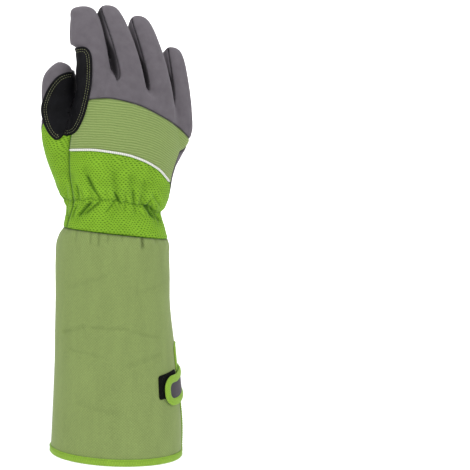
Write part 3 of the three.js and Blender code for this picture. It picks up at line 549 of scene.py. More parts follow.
# The gathers at the wrist
# An elastic sewn inside pulls the mesh cloth together, so it stands in small pleats above and below that line
# and long creases run away from it. The creases are places on the back of the hand.
GATHER_LINE = table(
    "x z",
    (-60, 256.5), (-43, 256.0), (-38, 258.0), (-32.4, 257.0), (-26.5, 259.6), (-15.0, 257.4),
    (-11.3, 257.4), (-3.9, 258.1), (-1.0, 256.7), (1.4, 257.7), (3.9, 254.7), (9.5, 255.9),
    (12.4, 254.1), (15.4, 253.6), (22.1, 252.1), (26.5, 252.9), (28.8, 250.3), (33.3, 250.7),
    (36.2, 247.8), (41.5, 243.5), (60, 243),
)
CREASES = table(
    "x0 z0 x1 z1 deep wide",
    (-28.4, 281.2, -15.0, 258.1, 2.0, 1.7), (-38.8, 273.0, -36.0, 260.0, 1.5, 1.5),
    (-34.0, 268.0, -31.0, 258.5, 1.0, 1.5), (-23.9, 255.5, -37.2, 242.4, 2.2, 1.6),
    (-15.0, 256.0, -29.9, 244.8, 1.7, 1.6), (-38.0, 252.9, -43.2, 240.2, 1.6, 1.5),
    (-1.0, 266.0, 3.9, 254.7, 2.0, 1.5), (9.0, 266.0, 9.6, 256.0, 1.0, 1.4),
    (16.9, 267.8, 17.4, 253.8, 1.4, 1.5), (-1.0, 256.7, -10.6, 245.4, 1.3, 1.6),
    (-10.0, 268.0, -8.0, 258.5, 0.9, 1.7), (26.5, 252.9, 35.5, 240.2, 2.0, 1.4),
    (30.3, 250.7, 38.4, 238.1, 1.8, 1.4), (34.0, 249.9, 43.6, 235.7, 1.8, 1.5),
    (34.7, 258.0, 29.5, 250.7, 1.5, 1.5), (37.0, 262.6, 43.6, 250.7, 1.4, 1.6),
    (25.0, 263.0, 23.0, 253.0, 1.1, 1.4), (9.5, 255.9, 8.0, 246.0, 0.9, 1.5),
    (17.0, 253.5, 19.0, 244.0, 0.9, 1.5), (-50.0, 262.0, -47.0, 238.0, 1.2, 2.0),
    (-56.0, 272.0, -51.0, 254.0, 1.0, 2.0),
)
SOFT_FOLDS = table(
    "x0 z0 x1 z1 deep wide",
    (-31.0, 290.0, -22.0, 262.0, 0.9, 3.6), (-2.0, 285.0, 1.0, 258.0, 1.1, 3.6),
    (14.0, 282.0, 17.0, 256.0, 0.9, 3.2), (28.0, 276.0, 27.0, 254.0, 0.8, 3.0),
    (-45.0, 284.0, -38.0, 258.0, 0.9, 3.4), (-22.0, 256.0, -40.0, 236.0, 0.8, 3.4),
    (30.0, 252.0, 42.0, 232.0, 0.8, 3.2), (2.0, 254.0, -6.0, 238.0, 0.6, 3.4),
)
GATHER_REACH = 13
GATHER_SWELL = 0.75
GATHERS_END = (300, 315)
PALM_ELASTIC = 252  # its height on the palm side, where it drops a little to the right in a zigzag
PALM_ELASTIC_SLOPE = 0.09
ZIGZAGS = 8
ZIGZAG_HEIGHT = 1.6
ELASTIC_DENT = 2.2
# Width of the painted shade line along the elastic, then the crease depth at which the painted shade is
# darkest.
ELASTIC_SHADE_WIDTH = 0.9
DARKEST_FOLD = 2.9


def crease_depth(rows, x, z, narrow=1.0, side_swell=0.4):
    """How far short creases press the cloth in: a bell across each line that fades out towards both ends."""
    start = np.stack([rows["x0"], rows["z0"]], -1)
    side = np.stack([rows["x1"], rows["z1"]], -1) - start
    length = np.hypot(side[:, 0], side[:, 1])
    rel = np.stack([x, z], -1)[:, None] - start
    along = (rel * side).sum(-1) / length
    away = (rel[..., 0] * side[:, 1] - rel[..., 1] * side[:, 0]) / length
    fade = smooth(along, -2.5, 3) * (1 - smooth(along, length - 3, length + 2.5))
    wide = rows["wide"] * narrow
    dent = bell(away, wide) - side_swell * bell(away, wide, 2.2 * wide)
    return (rows["deep"] * fade * dent).sum(-1)


at, section, across, out = in_hand(skin)
girdle = np.arctan2(out / section["depth"], across / section["width"])
zigzag = ZIGZAG_HEIGHT * np.abs((girdle * ZIGZAGS / math.pi) % 1 - 0.5)
back_line = np.interp(skin[:, 0], GATHER_LINE["x"], GATHER_LINE["z"])
palm_line = PALM_ELASTIC - PALM_ELASTIC_SLOPE * skin[:, 0] + zigzag
elastic_height = np.where(out > 0, back_line, palm_line)
from_elastic = skin[:, 2] - elastic_height
pleats = np.cos(23 * girdle + 0.9 * np.sin(3 * girdle) - 0.10 * np.abs(from_elastic))
pleats = pleats + 0.6 * np.cos(37 * girdle + 1.4 * np.sin(5 * girdle + 1) + 0.16 * from_elastic)
reach = bell(from_elastic, GATHER_REACH)
low_hand = 1 - smooth(skin[:, 2], *GATHERS_END)
x, y, z = skin.T
palm_pleats = (1 - pleats) * reach
press = bell(from_elastic, ELASTIC_DENT) + np.where(out > 0, 0, 0.4 * palm_pleats)
press = press + np.where(out > 0, crease_depth(CREASES, x, z) + crease_depth(SOFT_FOLDS, x, z), 0)
# Painted shade: the colour is darkened in a line along the elastic, in the palm's pleats and in the creases
# on the back, where shade falls in them.
shade = 1.5 * bell(from_elastic, ELASTIC_SHADE_WIDTH) + np.where(out > 0, 0, 0.3 * palm_pleats)
creased = crease_depth(CREASES, x, z, 0.7, 0.2) + 0.7 * crease_depth(SOFT_FOLDS, x, z)
shade = shade + np.where(out > 0, creased, 0)
swell = 0.3 * pleats * reach + GATHER_SWELL * (1 - bell(from_elastic, 4)) * reach
skin = skin + face_normals(skin, cloth) * ((swell - press) * low_hand)[:, None]
painted_shade = np.clip(shade * low_hand / DARKEST_FOLD, -0.25, 1)

# The index finger is pinched in where the black patch begins, stands out above it and is rounder at its tip
INDEX_STEP = (405.5, 409.5)
INDEX_PINCH = 2.4
INDEX_BULGE = 2.6
INDEX_CORNER = 3.4
left_of_index = 1 - smooth(skin[:, 0], -44, -26)
pinch = INDEX_PINCH * (1 - smooth(skin[:, 2], *INDEX_STEP)) * smooth(skin[:, 2], 380, 392)
bulge = INDEX_BULGE * smooth(skin[:, 2], *INDEX_STEP) * (1 - smooth(skin[:, 2], 412, 436))
corner = INDEX_CORNER * smooth(skin[:, 2], 434, 446) * (1 - smooth(skin[:, 0], -42, -30))
skin[:, 0] += (pinch - bulge) * left_of_index - corner

# Cutting the skin along its seams
WEAVE_RADIUS = 48  # millimetres of cloth for each radian round the hand
RIB_BEND = 0.6  # how much of the piping's curve the ribs follow
RIM_LIFT = 0.3
SIDE_TOP = 322  # the seam beside the thumb ends at this height
rim = hand_section(0.0)
rim_up = np.cross(rim["across"], rim["out"])
rim_up = rim_up * np.sign(rim_up[2])
fields, valley_shade = seam_fields(skin)
at, section, across, out = in_hand(skin)
girdle = np.arctan2(out / section["depth"], across / section["width"])
girdle = np.where(girdle < -math.pi / 2, girdle + 2 * math.pi, girdle)
weave_u = girdle * WEAVE_RADIUS
pipe = rounded(drawn(PIPING_SEAM), False)
rib_v = skin[:, 2] - RIB_BEND * np.interp(skin[:, 0], pipe[:, 0], pipe[:, 1])
rim_height = (skin - rim["centre"]) @ rim_up - RIM_LIFT
# The last column carries the painted shade of the creases and of the gaps between the fingers.
values = np.column_stack([fields, weave_u, skin[:, 2], rib_v, rim_height, np.maximum(painted_shade, valley_shade)])
WEAVE, HEIGHT, RIB, RIM, PAINTED_SHADE = 8, 9, 10, 11, 12
for k in [RIM, THUMB, BACK, *WEBS, SIDE, PIPING, KNUCKLE]:
    skin, cloth, values = cut_along(skin, cloth, values, values[:, k])


def nearest_seam(values):
    """Distance to the nearest seam that is really sewn there, in the order in which the panels are cut."""
    sewn = np.abs(values[:, THUMB])
    on_hand = values[:, THUMB] < 0.01
    webs = values[:, WEBS].max(1)
    sewn = np.where(on_hand, np.minimum(sewn, np.abs(values[:, WEBS]).min(1)), sewn)
    no_web = on_hand & (webs < 0.01)
    sewn = np.where(no_web, np.minimum(sewn, np.abs(values[:, BACK])), sewn)
    on_back = no_web & (values[:, BACK] > -0.01)
    low_back = on_back & (values[:, KNUCKLE] < 0.01)
    on_side = low_back & (values[:, HEIGHT] < SIDE_TOP)
    sewn = np.where(on_side, np.minimum(sewn, np.abs(values[:, SIDE])), sewn)
    right_side = on_back & (values[:, SIDE] < 0.01)
    sewn = np.where(right_side, np.minimum(sewn, np.abs(values[:, PIPING])), sewn)
    return np.where(right_side, np.minimum(sewn, np.abs(values[:, KNUCKLE])), sewn)


SEAM_LEVELS = (0.7, 1.8)  # lines that the mesh gets beside every seam
for level in SEAM_LEVELS:
    skin, cloth, values = cut_along(skin, cloth, values, nearest_seam(values) - level)
seam = np.minimum(nearest_seam(values), np.abs(values[:, RIM]))
normals = face_normals(skin, cloth)
SEAM_DEPTH = 0.75
SEAM_PUFF = 0.35
PUFF_FROM_SEAM = 2.6
PUFF_WIDTH = 1.8
groove = SEAM_DEPTH * bell(seam, 1.0) - SEAM_PUFF * bell(seam, PUFF_WIDTH, PUFF_FROM_SEAM)
plain_skin = skin.copy()
skin = skin - normals * groove[:, None]
normals = face_normals(skin, cloth)


def wall_between(outer, inner, faces):
    """A closed cloth: the outer points and faces, the same turned round for the inner points, and edges."""
    used, faces = np.unique(faces, return_inverse=True)
    faces = faces.reshape(-1, 3)
    sides = sides_of(faces)
    keys = sides[:, 0] * len(used) + sides[:, 1]
    rim = sides[~np.isin(keys, sides[:, 1] * len(used) + sides[:, 0])]
    n = len(used)
    wall = np.stack([rim[:, 1], rim[:, 0], rim[:, 0] + n, rim[:, 1] + n], -1)
    shell = np.vstack([faces, faces[:, ::-1] + n, halves(wall)])
    return np.vstack([outer[used], inner[used]]), shell, np.tile(used, 2)


def carry(piece, name, amounts):
    """Stores one number for each point of a piece, for its material to read."""
    layer = piece.data.attributes.new(name, "FLOAT", "POINT")
    layer.data.foreach_set("value", np.asarray(amounts, np.float32))


def carry_uv(piece, u, v):
    """Stores the place of each point along and across the weave, in millimetres, as the piece's UV map."""
    loops = np.zeros(len(piece.data.loops), np.int32)
    piece.data.loops.foreach_get("vertex_index", loops)
    layer = piece.data.uv_layers.new(name="UVMap")
    layer.data.foreach_set("uv", np.stack([u[loops], v[loops]], -1).astype(np.float32).ravel())


# Suede
# Microfibre suede, brushed to a short nap: matt, cloudy grey where the nap lies different ways, light edges.
# It is 1.5 mm thick and sewn from the inside, so each seam is folded in, and shade is painted into the colour
# along it.
SUEDE = "6c676d"
SUEDE_SHADE = "1d1b1e"
PANEL_WALL = 1.5
NAP_CLOUDS = 9.0
NAP_GRAIN = 0.9
THUMB_EDGE = -52  # left of this the side panel reaches up to the thumb


def colour(code):
    """An sRGB hex colour as linear numbers."""
    part = np.array([int(code[k : k + 2], 16) for k in (0, 2, 4)]) / 255
    linear = np.where(part <= 0.04045, part / 12.92, ((part + 0.055) / 1.055) ** 2.4)
    return (*linear.tolist(), 1.0)


def add(tree, kind, links=None, **settings):
    """Adds one node: its settings by name, and its inputs as values or as the sockets that feed them."""
    node = tree.nodes.new(kind)
    for name, value in settings.items():
        setattr(node, name, value)
    for key, value in (links or {}).items():
        if isinstance(value, bpy.types.NodeSocket):
            tree.links.new(value, node.inputs[key])
        else:
            node.inputs[key].default_value = value
    return node


def new_finish(name):
    """An empty material with its shader; gives the material, its node tree and the shader."""
    finish = bpy.data.materials.new(name)
    finish.use_nodes = True
    tree = finish.node_tree
    return finish, tree, tree.nodes["Principled BSDF"]


def maths(tree, operation, *values, **settings):
    """One number worked out from others."""
    return add(tree, "ShaderNodeMath", dict(enumerate(values)), operation=operation, **settings).outputs[0]


def noise(tree, place, size, detail=2.0):
    """A noise whose lumps are so many millimetres wide, as a number about one half."""
    links = {"Vector": place, "Scale": 1 / (size * MM), "Detail": detail}
    return add(tree, "ShaderNodeTexNoise", links).outputs["Fac"]


def ranged(tree, value, low=0.0, high=1.0, to_low=0.0, to_high=1.0, **settings):
    """A number brought from one range to another and held in it."""
    links = {"Value": value, "From Min": low, "From Max": high, "To Min": to_low, "To Max": to_high}
    return add(tree, "ShaderNodeMapRange", links, **settings).outputs[0]


def mottle(tree, place, size, low, high, detail=2.0):
    """A tone that a noise moves between low and high."""
    return ranged(tree, noise(tree, place, size, detail), 0.0, 1.0, low, high)


def mixed(tree, share, first, second, **settings):
    """A colour between two others by a share."""
    links = {0: share, 6: first, 7: second}
    return add(tree, "ShaderNodeMix", links, data_type="RGBA", **settings).outputs[2]


def toned(tree, base, tone):
    """A colour times a tone."""
    return mixed(tree, 1.0, base, tone, blend_type="MULTIPLY")


def folded(tree, base, code, seam_from, seam_to, deepest):
    """The cloth's colour, mixed with a deep shade of it: painted shade along the seams and in pressed folds,
    creases and the gaps between fingers.
    """
    seam_distance = add(tree, "ShaderNodeAttribute", attribute_name="seam").outputs["Fac"]
    # pressed is the painted shade that the mesh carries for creases and the gaps between fingers.
    pressed = add(tree, "ShaderNodeAttribute", attribute_name="painted_shade").outputs["Fac"]
    near_seam = ranged(tree, seam_distance, seam_from, seam_to, deepest, 0.0)
    return mixed(tree, maths(tree, "MAXIMUM", near_seam, pressed, use_clamp=True), base, colour(code))


def dress(tree, shader, base, raised, roughness, specular=0.5, sheen=0.0, **settings):
    """Ends a finish: its colour, its raised pattern (height, strength and millimetres) and its shine."""
    if raised:
        links = {"Height": raised[0], "Strength": raised[1], "Distance": raised[2] * MM}
        tree.links.new(add(tree, "ShaderNodeBump", links, **settings).outputs[0], shader.inputs["Normal"])
    tree.links.new(base, shader.inputs["Base Color"])
    shader.inputs["Roughness"].default_value = roughness
    shader.inputs["Specular IOR Level"].default_value = specular
    shader.inputs["Sheen Weight"].default_value = sheen


def suede_finish(name, code, clouds, sewn=True):
    """Brushed nap: two sizes of noise shade the colour, fine noise raises it, and painted shade darkens it at
    the seams and in the creases.
    """
    finish, tree, shader = new_finish(name)
    place = add(tree, "ShaderNodeTexCoord").outputs["Object"]
    grain = noise(tree, place, NAP_GRAIN)
    both = maths(tree, "MULTIPLY", noise(tree, place, NAP_CLOUDS, 4.0), 0.75)
    both = maths(tree, "MULTIPLY_ADD", grain, 0.25, both)
    dark, light = ((*(c * (1 + change) for c in colour(code)[:3]), 1.0) for change in (-clouds, clouds))
    shade = mixed(tree, ranged(tree, both, 0.3, 0.7), dark, light)
    if sewn:
        # Painted shade along the seams and in the creases.
        shade = folded(tree, shade, SUEDE_SHADE, 0.2, 1.5, 0.75)
    dress(tree, shader, shade, (grain, 0.35, 0.25), 0.95, 0.2, 0.35)
    shader.inputs["Sheen Roughness"].default_value = 0.5
    shader.inputs["Sheen Tint"].default_value = colour("b9b4ba")
    return finish


middle = values[cloth].mean(1)
above_rim = middle[:, RIM] > 0
is_thumb = above_rim & (middle[:, THUMB] > 0)
rest = above_rim & ~is_thumb
is_web = [rest & (middle[:, web] > 0) & ~(middle[:, WEBS[:k]] > 0).any(1) for k, web in enumerate(WEBS)]
rest = rest & ~np.any(is_web, 0)
is_palm = rest & (middle[:, BACK] < 0)
rest = rest & ~is_palm
below_thumb = (middle[:, HEIGHT] < SIDE_TOP) | (skin[cloth][:, :, 0].mean(1) < THUMB_EDGE)
is_side = rest & (middle[:, SIDE] > 0) & below_thumb
is_wrist = rest & ~is_side & (middle[:, PIPING] > 0)
is_back = rest & ~is_side & ~is_wrist & ((middle[:, KNUCKLE] > 0) | ~below_thumb & (middle[:, SIDE] > 0))
is_elastic = rest & ~is_side & ~is_wrist & ~is_back

suede = suede_finish("microfibre_suede", SUEDE, 0.13)


def sew_panel(name, mask, finish, v_column=HEIGHT):
    """One cloth panel of the skin with its wall, the distance to its seams and its weave's coordinates."""
    points, faces, source = wall_between(skin, skin - PANEL_WALL * normals, cloth[mask])
    piece = put_mesh(name + "_cloth", points, faces)
    carry(piece, "seam", seam[source])
    # Painted shade of the creases and of the gaps between fingers, for the finish to read.
    carry(piece, "painted_shade", values[source, PAINTED_SHADE])
    carry_uv(piece, values[source, WEAVE], values[source, v_column])
    piece.data.materials.append(finish)
    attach(piece, "root")
    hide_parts(name)
    return piece


for name, mask in (("back_panel", is_back), ("palm_panel", is_palm), ("thumb_shell", is_thumb)):
    sew_panel(name, mask, suede)
for name, mask in zip(("index_middle", "middle_ring", "ring_little"), is_web):
    sew_panel("fourchette_" + name, mask, suede)


# Lime mesh
# A knitted air mesh of polyester over the wrist and the thumb side, with rows of small pits 3.3 mm apart.
# Bright lime where the yarn stands up and darker green in the pits.
LIME = "89ba2f"
LIME_PIT = "48760e"
LIME_SHADE = "2c5806"
PIT_ACROSS = 3.3
PIT_UP = 1.9
PIT_PULL = 5.0  # how far the rows wander


def mesh_finish(name):
    """Pits on a staggered grid: the distance to the nearest pit's middle sets the colour and the height."""
    finish, tree, shader = new_finish(name)
    place = add(tree, "ShaderNodeTexCoord").outputs["Object"]
    pull = add(tree, "ShaderNodeTexNoise", {"Vector": place, "Scale": 1 / (12 * MM), "Detail": 1.0})
    pull = add(tree, "ShaderNodeVectorMath", {0: pull.outputs["Color"], 3: PIT_PULL}, operation="SCALE")
    woven = add(tree, "ShaderNodeUVMap").outputs[0]
    woven = add(tree, "ShaderNodeVectorMath", {0: woven, 1: pull.outputs[0]}, operation="ADD")
    split = add(tree, "ShaderNodeSeparateXYZ", {0: woven.outputs[0]})
    up = maths(tree, "DIVIDE", split.outputs[1], PIT_UP)
    odd = maths(tree, "MODULO", maths(tree, "FLOOR", up), 2.0)
    across = maths(tree, "DIVIDE", split.outputs[0], PIT_ACROSS)
    across = maths(tree, "MULTIPLY_ADD", odd, 0.5, across)
    away = [maths(tree, "SUBTRACT", maths(tree, "FRACT", value), 0.5) for value in (across, up)]
    vector = add(tree, "ShaderNodeCombineXYZ", dict(enumerate(away)))
    distance = add(tree, "ShaderNodeVectorMath", {0: vector.outputs[0]}, operation="LENGTH").outputs["Value"]
    pit = ranged(tree, distance, 0.1, 0.36, interpolation_type="SMOOTHSTEP")
    tone = maths(tree, "MULTIPLY", mottle(tree, place, 14, 0.8, 1.2, 3.0), mottle(tree, place, 1.1, 0.8, 1.2))
    shade = toned(tree, mixed(tree, pit, colour(LIME_PIT), colour(LIME)), tone)
    # Painted shade along the seams and in the creases.
    shade = folded(tree, shade, LIME_SHADE, 0.2, 1.3, 0.7)
    dress(tree, shader, shade, (pit, 0.7, 0.5), 0.8, 0.15, 0.08)
    return finish


lime_mesh = mesh_finish("knitted_air_mesh")
sew_panel("side_panel", is_side, lime_mesh)
sew_panel("wrist_panel", is_wrist, lime_mesh)


# Ribbed stretch cloth
# The olive panel over the back of the hand is elastic cloth with fine ribs across the hand, 2.4 mm apart.
# Each rib is a soft round ridge, with painted shade between the ribs and a painted highlight on its top, and
# the ribs bend with the piping.
OLIVE = "9bb069"
OLIVE_GROOVE_SHADE = "7d9450"
OLIVE_SHADE = "39451f"
RIB_PITCH = 2.4
RIB_WANDER = 5.0


def ribbed_finish(name):
    """Ribs as a sine of the height over the piping's curve, which also paints shade between them and a
    highlight on their tops, and a slow noise that makes them wander.
    """
    finish, tree, shader = new_finish(name)
    split = add(tree, "ShaderNodeSeparateXYZ", {0: add(tree, "ShaderNodeUVMap").outputs[0]})
    place = add(tree, "ShaderNodeTexCoord").outputs["Object"]
    turns = maths(tree, "MULTIPLY", split.outputs[1], 2 * math.pi / RIB_PITCH)
    turns = maths(tree, "MULTIPLY_ADD", noise(tree, place, 16), RIB_WANDER, turns)
    rib = ranged(tree, maths(tree, "SINE", turns), -1.0)
    # Painted shade in the grooves between the ribs and a painted highlight on their tops.
    ribbing = mixed(tree, rib, colour(OLIVE_GROOVE_SHADE), colour(OLIVE))
    shade = toned(tree, ribbing, mottle(tree, place, 1.2, 0.86, 1.14))
    # Painted shade along the seams and in the creases.
    shade = folded(tree, shade, OLIVE_SHADE, 0.2, 1.5, 0.75)
    dress(tree, shader, shade, (rib, 0.6, 0.35), 0.85, 0.3, 0.2)
    return finish


ribbed = ribbed_finish("ribbed_elastic")
sew_panel("elastic_panel", is_elastic, ribbed, RIB)


# Black patches
# Synthetic leather over the thumb and the index finger where they grip: smooth, near black, a faint gloss.
# The edge is turned under, so it stands up as a round welt outside a double row of stitches.
PATCH_WALL = 1.2
PATCH_CLEAR = 0.2
BORDER_GAP = 0.15
CUT_LEVELS = (0.35, 1.0, 1.8, 3.0, 5.0)  # the welt's own lines in the mesh
INDEX_SEAM_OVERLAP = 1
TIP_CUT = np.array([(-43.5, 384.0), (-44.0, 396.0)])  # joins the two edges above the thumb's tip


def patch_height(distance):
    """Height of the patch over the suede by the distance to its edge: a round welt, a dip for stitches."""
    edge = np.sqrt(np.clip(1 - (1 - np.clip(distance, 0, 1)) ** 2, 0, 1))
    return PATCH_CLEAR + PATCH_WALL * edge + 0.6 * bell(distance, 0.8, 1.1) - 0.3 * bell(distance, 1.8, 3.8)


def patch_finish(name):
    """Fine grain on a smooth dark skin, with slow clouds between two near blacks."""
    finish, tree, shader = new_finish(name)
    place = add(tree, "ShaderNodeTexCoord").outputs["Object"]
    grain = add(tree, "ShaderNodeTexVoronoi", {"Vector": place, "Scale": 1 / MM}).outputs["Distance"]
    tone = ranged(tree, noise(tree, place, 11, 3.0), 0.3, 0.7)
    shade = mixed(tree, tone, colour("08080b"), colour("131317"))
    dress(tree, shader, shade, (grain, 0.2, 0.2), 0.6, 0.12)
    return finish


patch_leather = patch_finish("synthetic_leather")
right_edge = rounded(drawn(PATCH_RIGHT), False, 8)
left_edge = rounded(drawn(PATCH_LEFT), False, 8)
border = rounded(drawn(PATCH_BORDER), False)
patch_outline = np.vstack([right_edge, left_edge, TIP_CUT])
x, y, z = plain_skin.T
from_edge = inside_distance(patch_outline, x, z)
from_border = x - np.interp(z, border[:, 1], border[:, 0])
on_thumb = np.minimum(np.minimum(from_edge, -from_border - BORDER_GAP), THUMB_FRONT - y)
on_index = np.minimum(np.minimum(from_edge, from_border - BORDER_GAP), values[:, BACK] + INDEX_SEAM_OVERLAP)


def lay_patch(name, field):
    """Cuts a patch out of the skin by its field, and raises it from the suede with a wall of its own."""
    points, faces, carried = plain_skin, cloth[above_rim], np.column_stack([field, from_edge, plain_normals])
    points, faces, carried = cut_along(points, faces, carried, carried[:, 0])
    for level in CUT_LEVELS:
        points, faces, carried = cut_along(points, faces, carried, carried[:, 1] - level)
    faces = faces[carried[faces][:, :, 0].mean(1) > 0]
    out = unit(carried[:, 2:])
    outer = points + out * patch_height(carried[:, 1:2])
    points, faces, source = wall_between(outer, points + out * PATCH_CLEAR, faces)
    piece = put_mesh(name + "_leather", points, faces)
    piece.data.materials.append(patch_leather)
    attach(piece, "root")
    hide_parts(name)
    return piece


plain_normals = face_normals(plain_skin, cloth)
thumb_patch = lay_patch("thumb_patch", on_thumb)
index_patch = lay_patch("index_patch", on_index)


# Stitches
# Olive thread in a double row inside the patches' outer edge: every stitch is a round stroke, 1.8 mm long,
# that stands up from the leather and sinks in at both ends.
THREAD = "868a62"
STITCH_ROWS = (2.7, 4.9)
STITCH_PITCH = 2.4
STITCH_LENGTH = 1.8
STITCH_RADIUS = 0.27
STITCH_JUMP = 4  # a longer step is a gap in the line, where nothing is sewn
STITCH_SIDES = 6
EYE_Y = -0.2  # metres in front of the glove's middle, where the lines are seen from


def shifted(path, distance):
    """An open line moved to its right by a distance."""
    ahead = unit(np.gradient(path, axis=0))
    return path + distance * np.stack([ahead[:, 1], -ahead[:, 0]], -1)


def seen_from_back(piece, path):
    """The points of a piece that lie straight behind a drawn path, with the normals there."""
    points = np.zeros(len(piece.data.vertices) * 3)
    piece.data.vertices.foreach_get("co", points)
    faces = [tuple(polygon.vertices) for polygon in piece.data.polygons]
    tree = BVHTree.FromPolygons(points.reshape(-1, 3).tolist(), faces)
    hits = [tree.ray_cast(Vector((x * MM, EYE_Y, z * MM)), Vector((0, 1, 0))) for x, z in path]
    found = np.array([hit[0] is not None for hit in hits])
    places = np.array([tuple(hit[0]) if hit[0] else (0, 0, 0) for hit in hits]) / MM
    slopes = np.array([tuple(hit[1]) if hit[1] else (0, -1, 0) for hit in hits])
    return places, slopes, found


def stitch_row(places, slopes, found, pitch=STITCH_PITCH):
    """Evenly spaced stitches along a run of points: where each lies, its direction and its normal."""
    steps = np.linalg.norm(np.diff(places, axis=0), axis=1)
    steps = np.where(found[1:] & found[:-1], steps, 0)
    steps = np.where(steps > STITCH_JUMP, 0, steps)
    run = np.append(0, np.cumsum(steps))
    where = np.arange(pitch / 2, run[-1], pitch)
    middle = np.stack([np.interp(where, run, places[:, k]) for k in range(3)], -1)
    ahead = np.stack([np.interp(where + 0.5, run, places[:, k]) for k in range(3)], -1)
    up = unit(np.stack([np.interp(where, run, slopes[:, k]) for k in range(3)], -1))
    return middle, unit(ahead - middle), up


def put_stitches(name, rows, code, length=STITCH_LENGTH, radius=STITCH_RADIUS):
    """All stitches of several rows as one mesh: each is a long ball, half sunk into the cloth."""
    middle, ahead, up = (np.vstack([row[k] for row in rows]) for k in range(3))
    aside = np.cross(ahead, up)
    around = np.arange(STITCH_SIDES) * 2 * math.pi / STITCH_SIDES
    along = np.radians([-90, -50, 0, 50, 90])
    lengths = np.repeat(np.sin(along), STITCH_SIDES) * length / 2
    rims = [np.outer(np.cos(along), wave(around)).ravel() * radius for wave in (np.cos, np.sin)]
    bead = np.stack([lengths, *rims], -1)
    frame_of = np.stack([ahead, aside, np.cross(aside, ahead)], 1)
    points = middle[:, None] + np.einsum("bk,nkc->nbc", bead, frame_of)
    quads = wound(len(along), STITCH_SIDES)
    faces = (quads[None] + np.arange(len(middle))[:, None, None] * len(bead)).reshape(-1, 4)
    piece = put_mesh(name, points.reshape(-1, 3), faces)
    finish, tree, shader = new_finish(name + "_thread")
    place = add(tree, "ShaderNodeTexCoord").outputs["Object"]
    shade = toned(tree, colour(code), mottle(tree, place, 1.5, 0.6, 1.25))
    dress(tree, shader, shade, None, 0.6)
    piece.data.materials.append(finish)
    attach(piece, "root")


for name, patch, edge in (("thumb", thumb_patch, left_edge), ("index", index_patch, right_edge)):
    rows = [stitch_row(*seen_from_back(patch, shifted(edge, inset))) for inset in STITCH_ROWS]
    put_stitches(name + "_patch_stitches", rows, THREAD)


# Piping
# A white cord in a folded tape, caught in the seam between the stretch panel and the mesh.
# It lies proud of the cloth as a smooth round line, 2.3 mm across, with a fine twist.
PIPING_RADIUS = 1.15
PIPING_TWIST = 2.0
PIPING_SIDES = 14


def back_point(x, z, lift):
    """The place on the back of the palm's skin straight behind x and z, found by correcting its outline."""
    at = (z - CUFF_LENGTH) / HAND_LENGTH
    angle = np.full(len(x), math.pi / 2)
    for _ in range(14):
        here = outline(hand_section(at), angle, lift)
        aside = outline(hand_section(at), angle + 0.01, lift)
        angle = angle + 0.01 * (x - here[:, 0]) / (aside[:, 0] - here[:, 0])
        at = at + (z - outline(hand_section(at), angle, lift)[:, 2]) / HAND_LENGTH
    return outline(hand_section(at), angle, lift)


def cord_along(path, radius, sides):
    """A round cord: circles square to a path, closed by a small round end."""
    ahead = unit(np.gradient(path, axis=0))
    aside = unit(np.cross(ahead, np.array([0, 1.0, 0])))
    up = np.cross(aside, ahead)
    angle = np.arange(sides) * 2 * math.pi / sides
    ends = np.ones(len(path))
    ends[[0, -1]] = 0.25
    ends[[1, -2]] = 0.8
    ring = np.cos(angle)[:, None] * aside[:, None] + np.sin(angle)[:, None] * up[:, None]
    return capped(path[:, None] + ring * (radius * ends)[:, None, None])


def run_along(path):
    """How far each point of a line lies from its start, along the line."""
    return np.append(0, np.cumsum(np.linalg.norm(np.diff(path, axis=0), axis=1)))


def outward(points, faces):
    """The faces turned, if need be, so that the closed mesh encloses a positive volume."""
    corners = points[faces[:, :3]]
    volume = (corners[:, 0] * np.cross(corners[:, 1], corners[:, 2])).sum()
    if faces.shape[1] == 4:
        corners = points[faces[:, [0, 2, 3]]]
        volume += (corners[:, 0] * np.cross(corners[:, 1], corners[:, 2])).sum()
    return faces if volume > 0 else faces[:, ::-1]


route = rounded(drawn(PIPING_SEAM)[:-1], False, 12)
path = back_point(route[:, 0], route[:, 1], PIPING_RADIUS + 0.1)
points, faces = cord_along(path, PIPING_RADIUS, PIPING_SIDES)
piping = put_mesh("piping_cord", points, outward(points, faces))
turns = np.add.outer(run_along(path) / PIPING_TWIST, np.arange(PIPING_SIDES) / PIPING_SIDES)
carry(piping, "run", np.append(turns.ravel(), [0, 0]))
finish, tree, shader = new_finish("white_cord")
turns_in = add(tree, "ShaderNodeAttribute", attribute_name="run").outputs["Fac"]
twist = maths(tree, "SINE", maths(tree, "MULTIPLY", turns_in, 2 * math.pi))
strand = ranged(tree, twist, -1.0)
shade = mixed(tree, strand, colour("dedfd8"), colour("fafaf6"))
dress(tree, shader, shade, (strand, 0.3, 0.15), 0.6)
piping.data.materials.append(finish)
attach(piping, "root")
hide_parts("piping")


# The cuff
# A sleeve of olive canvas over the forearm, 2.4 mm thick with its lining, open at the mouth and slit on the
# little finger's side. It is eased onto the wrist seam in a few small pleats, and soft creases cross it.
CUFF_MOUTH_WIDTH = 133
CUFF_MOUTH_DEPTH = 104
CUFF_WALL = 2.4
VENT_LENGTH = 112
VENT_WIDTH = 4.4
VENT_CORNER = 12
VENT_LID = 3  # how high the slit's round top is
VENT_ANGLE = -8
VENT_LEAN = 18
CUFF_SECTIONS = table(
    "at x width depth turn tilt",
    (0.0, 0.0, 1.0, 1.0, 6, 2.6),
    (0.158, 0.006, 0.985, 0.98, 6, 3),
    (0.41, -0.004, 0.93, 0.94, 8, 4),
    (0.515, -0.01, 0.913, 0.92, 9, 4.5),
    (0.697, -0.021, 0.872, 0.9, 10, 5),
    (0.842, -0.023, 0.874, 0.88, 12, 6),
    (0.93, -0.023, 0.866, 0.87, 13, 6.6),
    (0.972, -0.012, 0.843, 0.83, 14, 6.9),
    (1.0, -0.004, 0.797, 0.735, 14, 7),
)
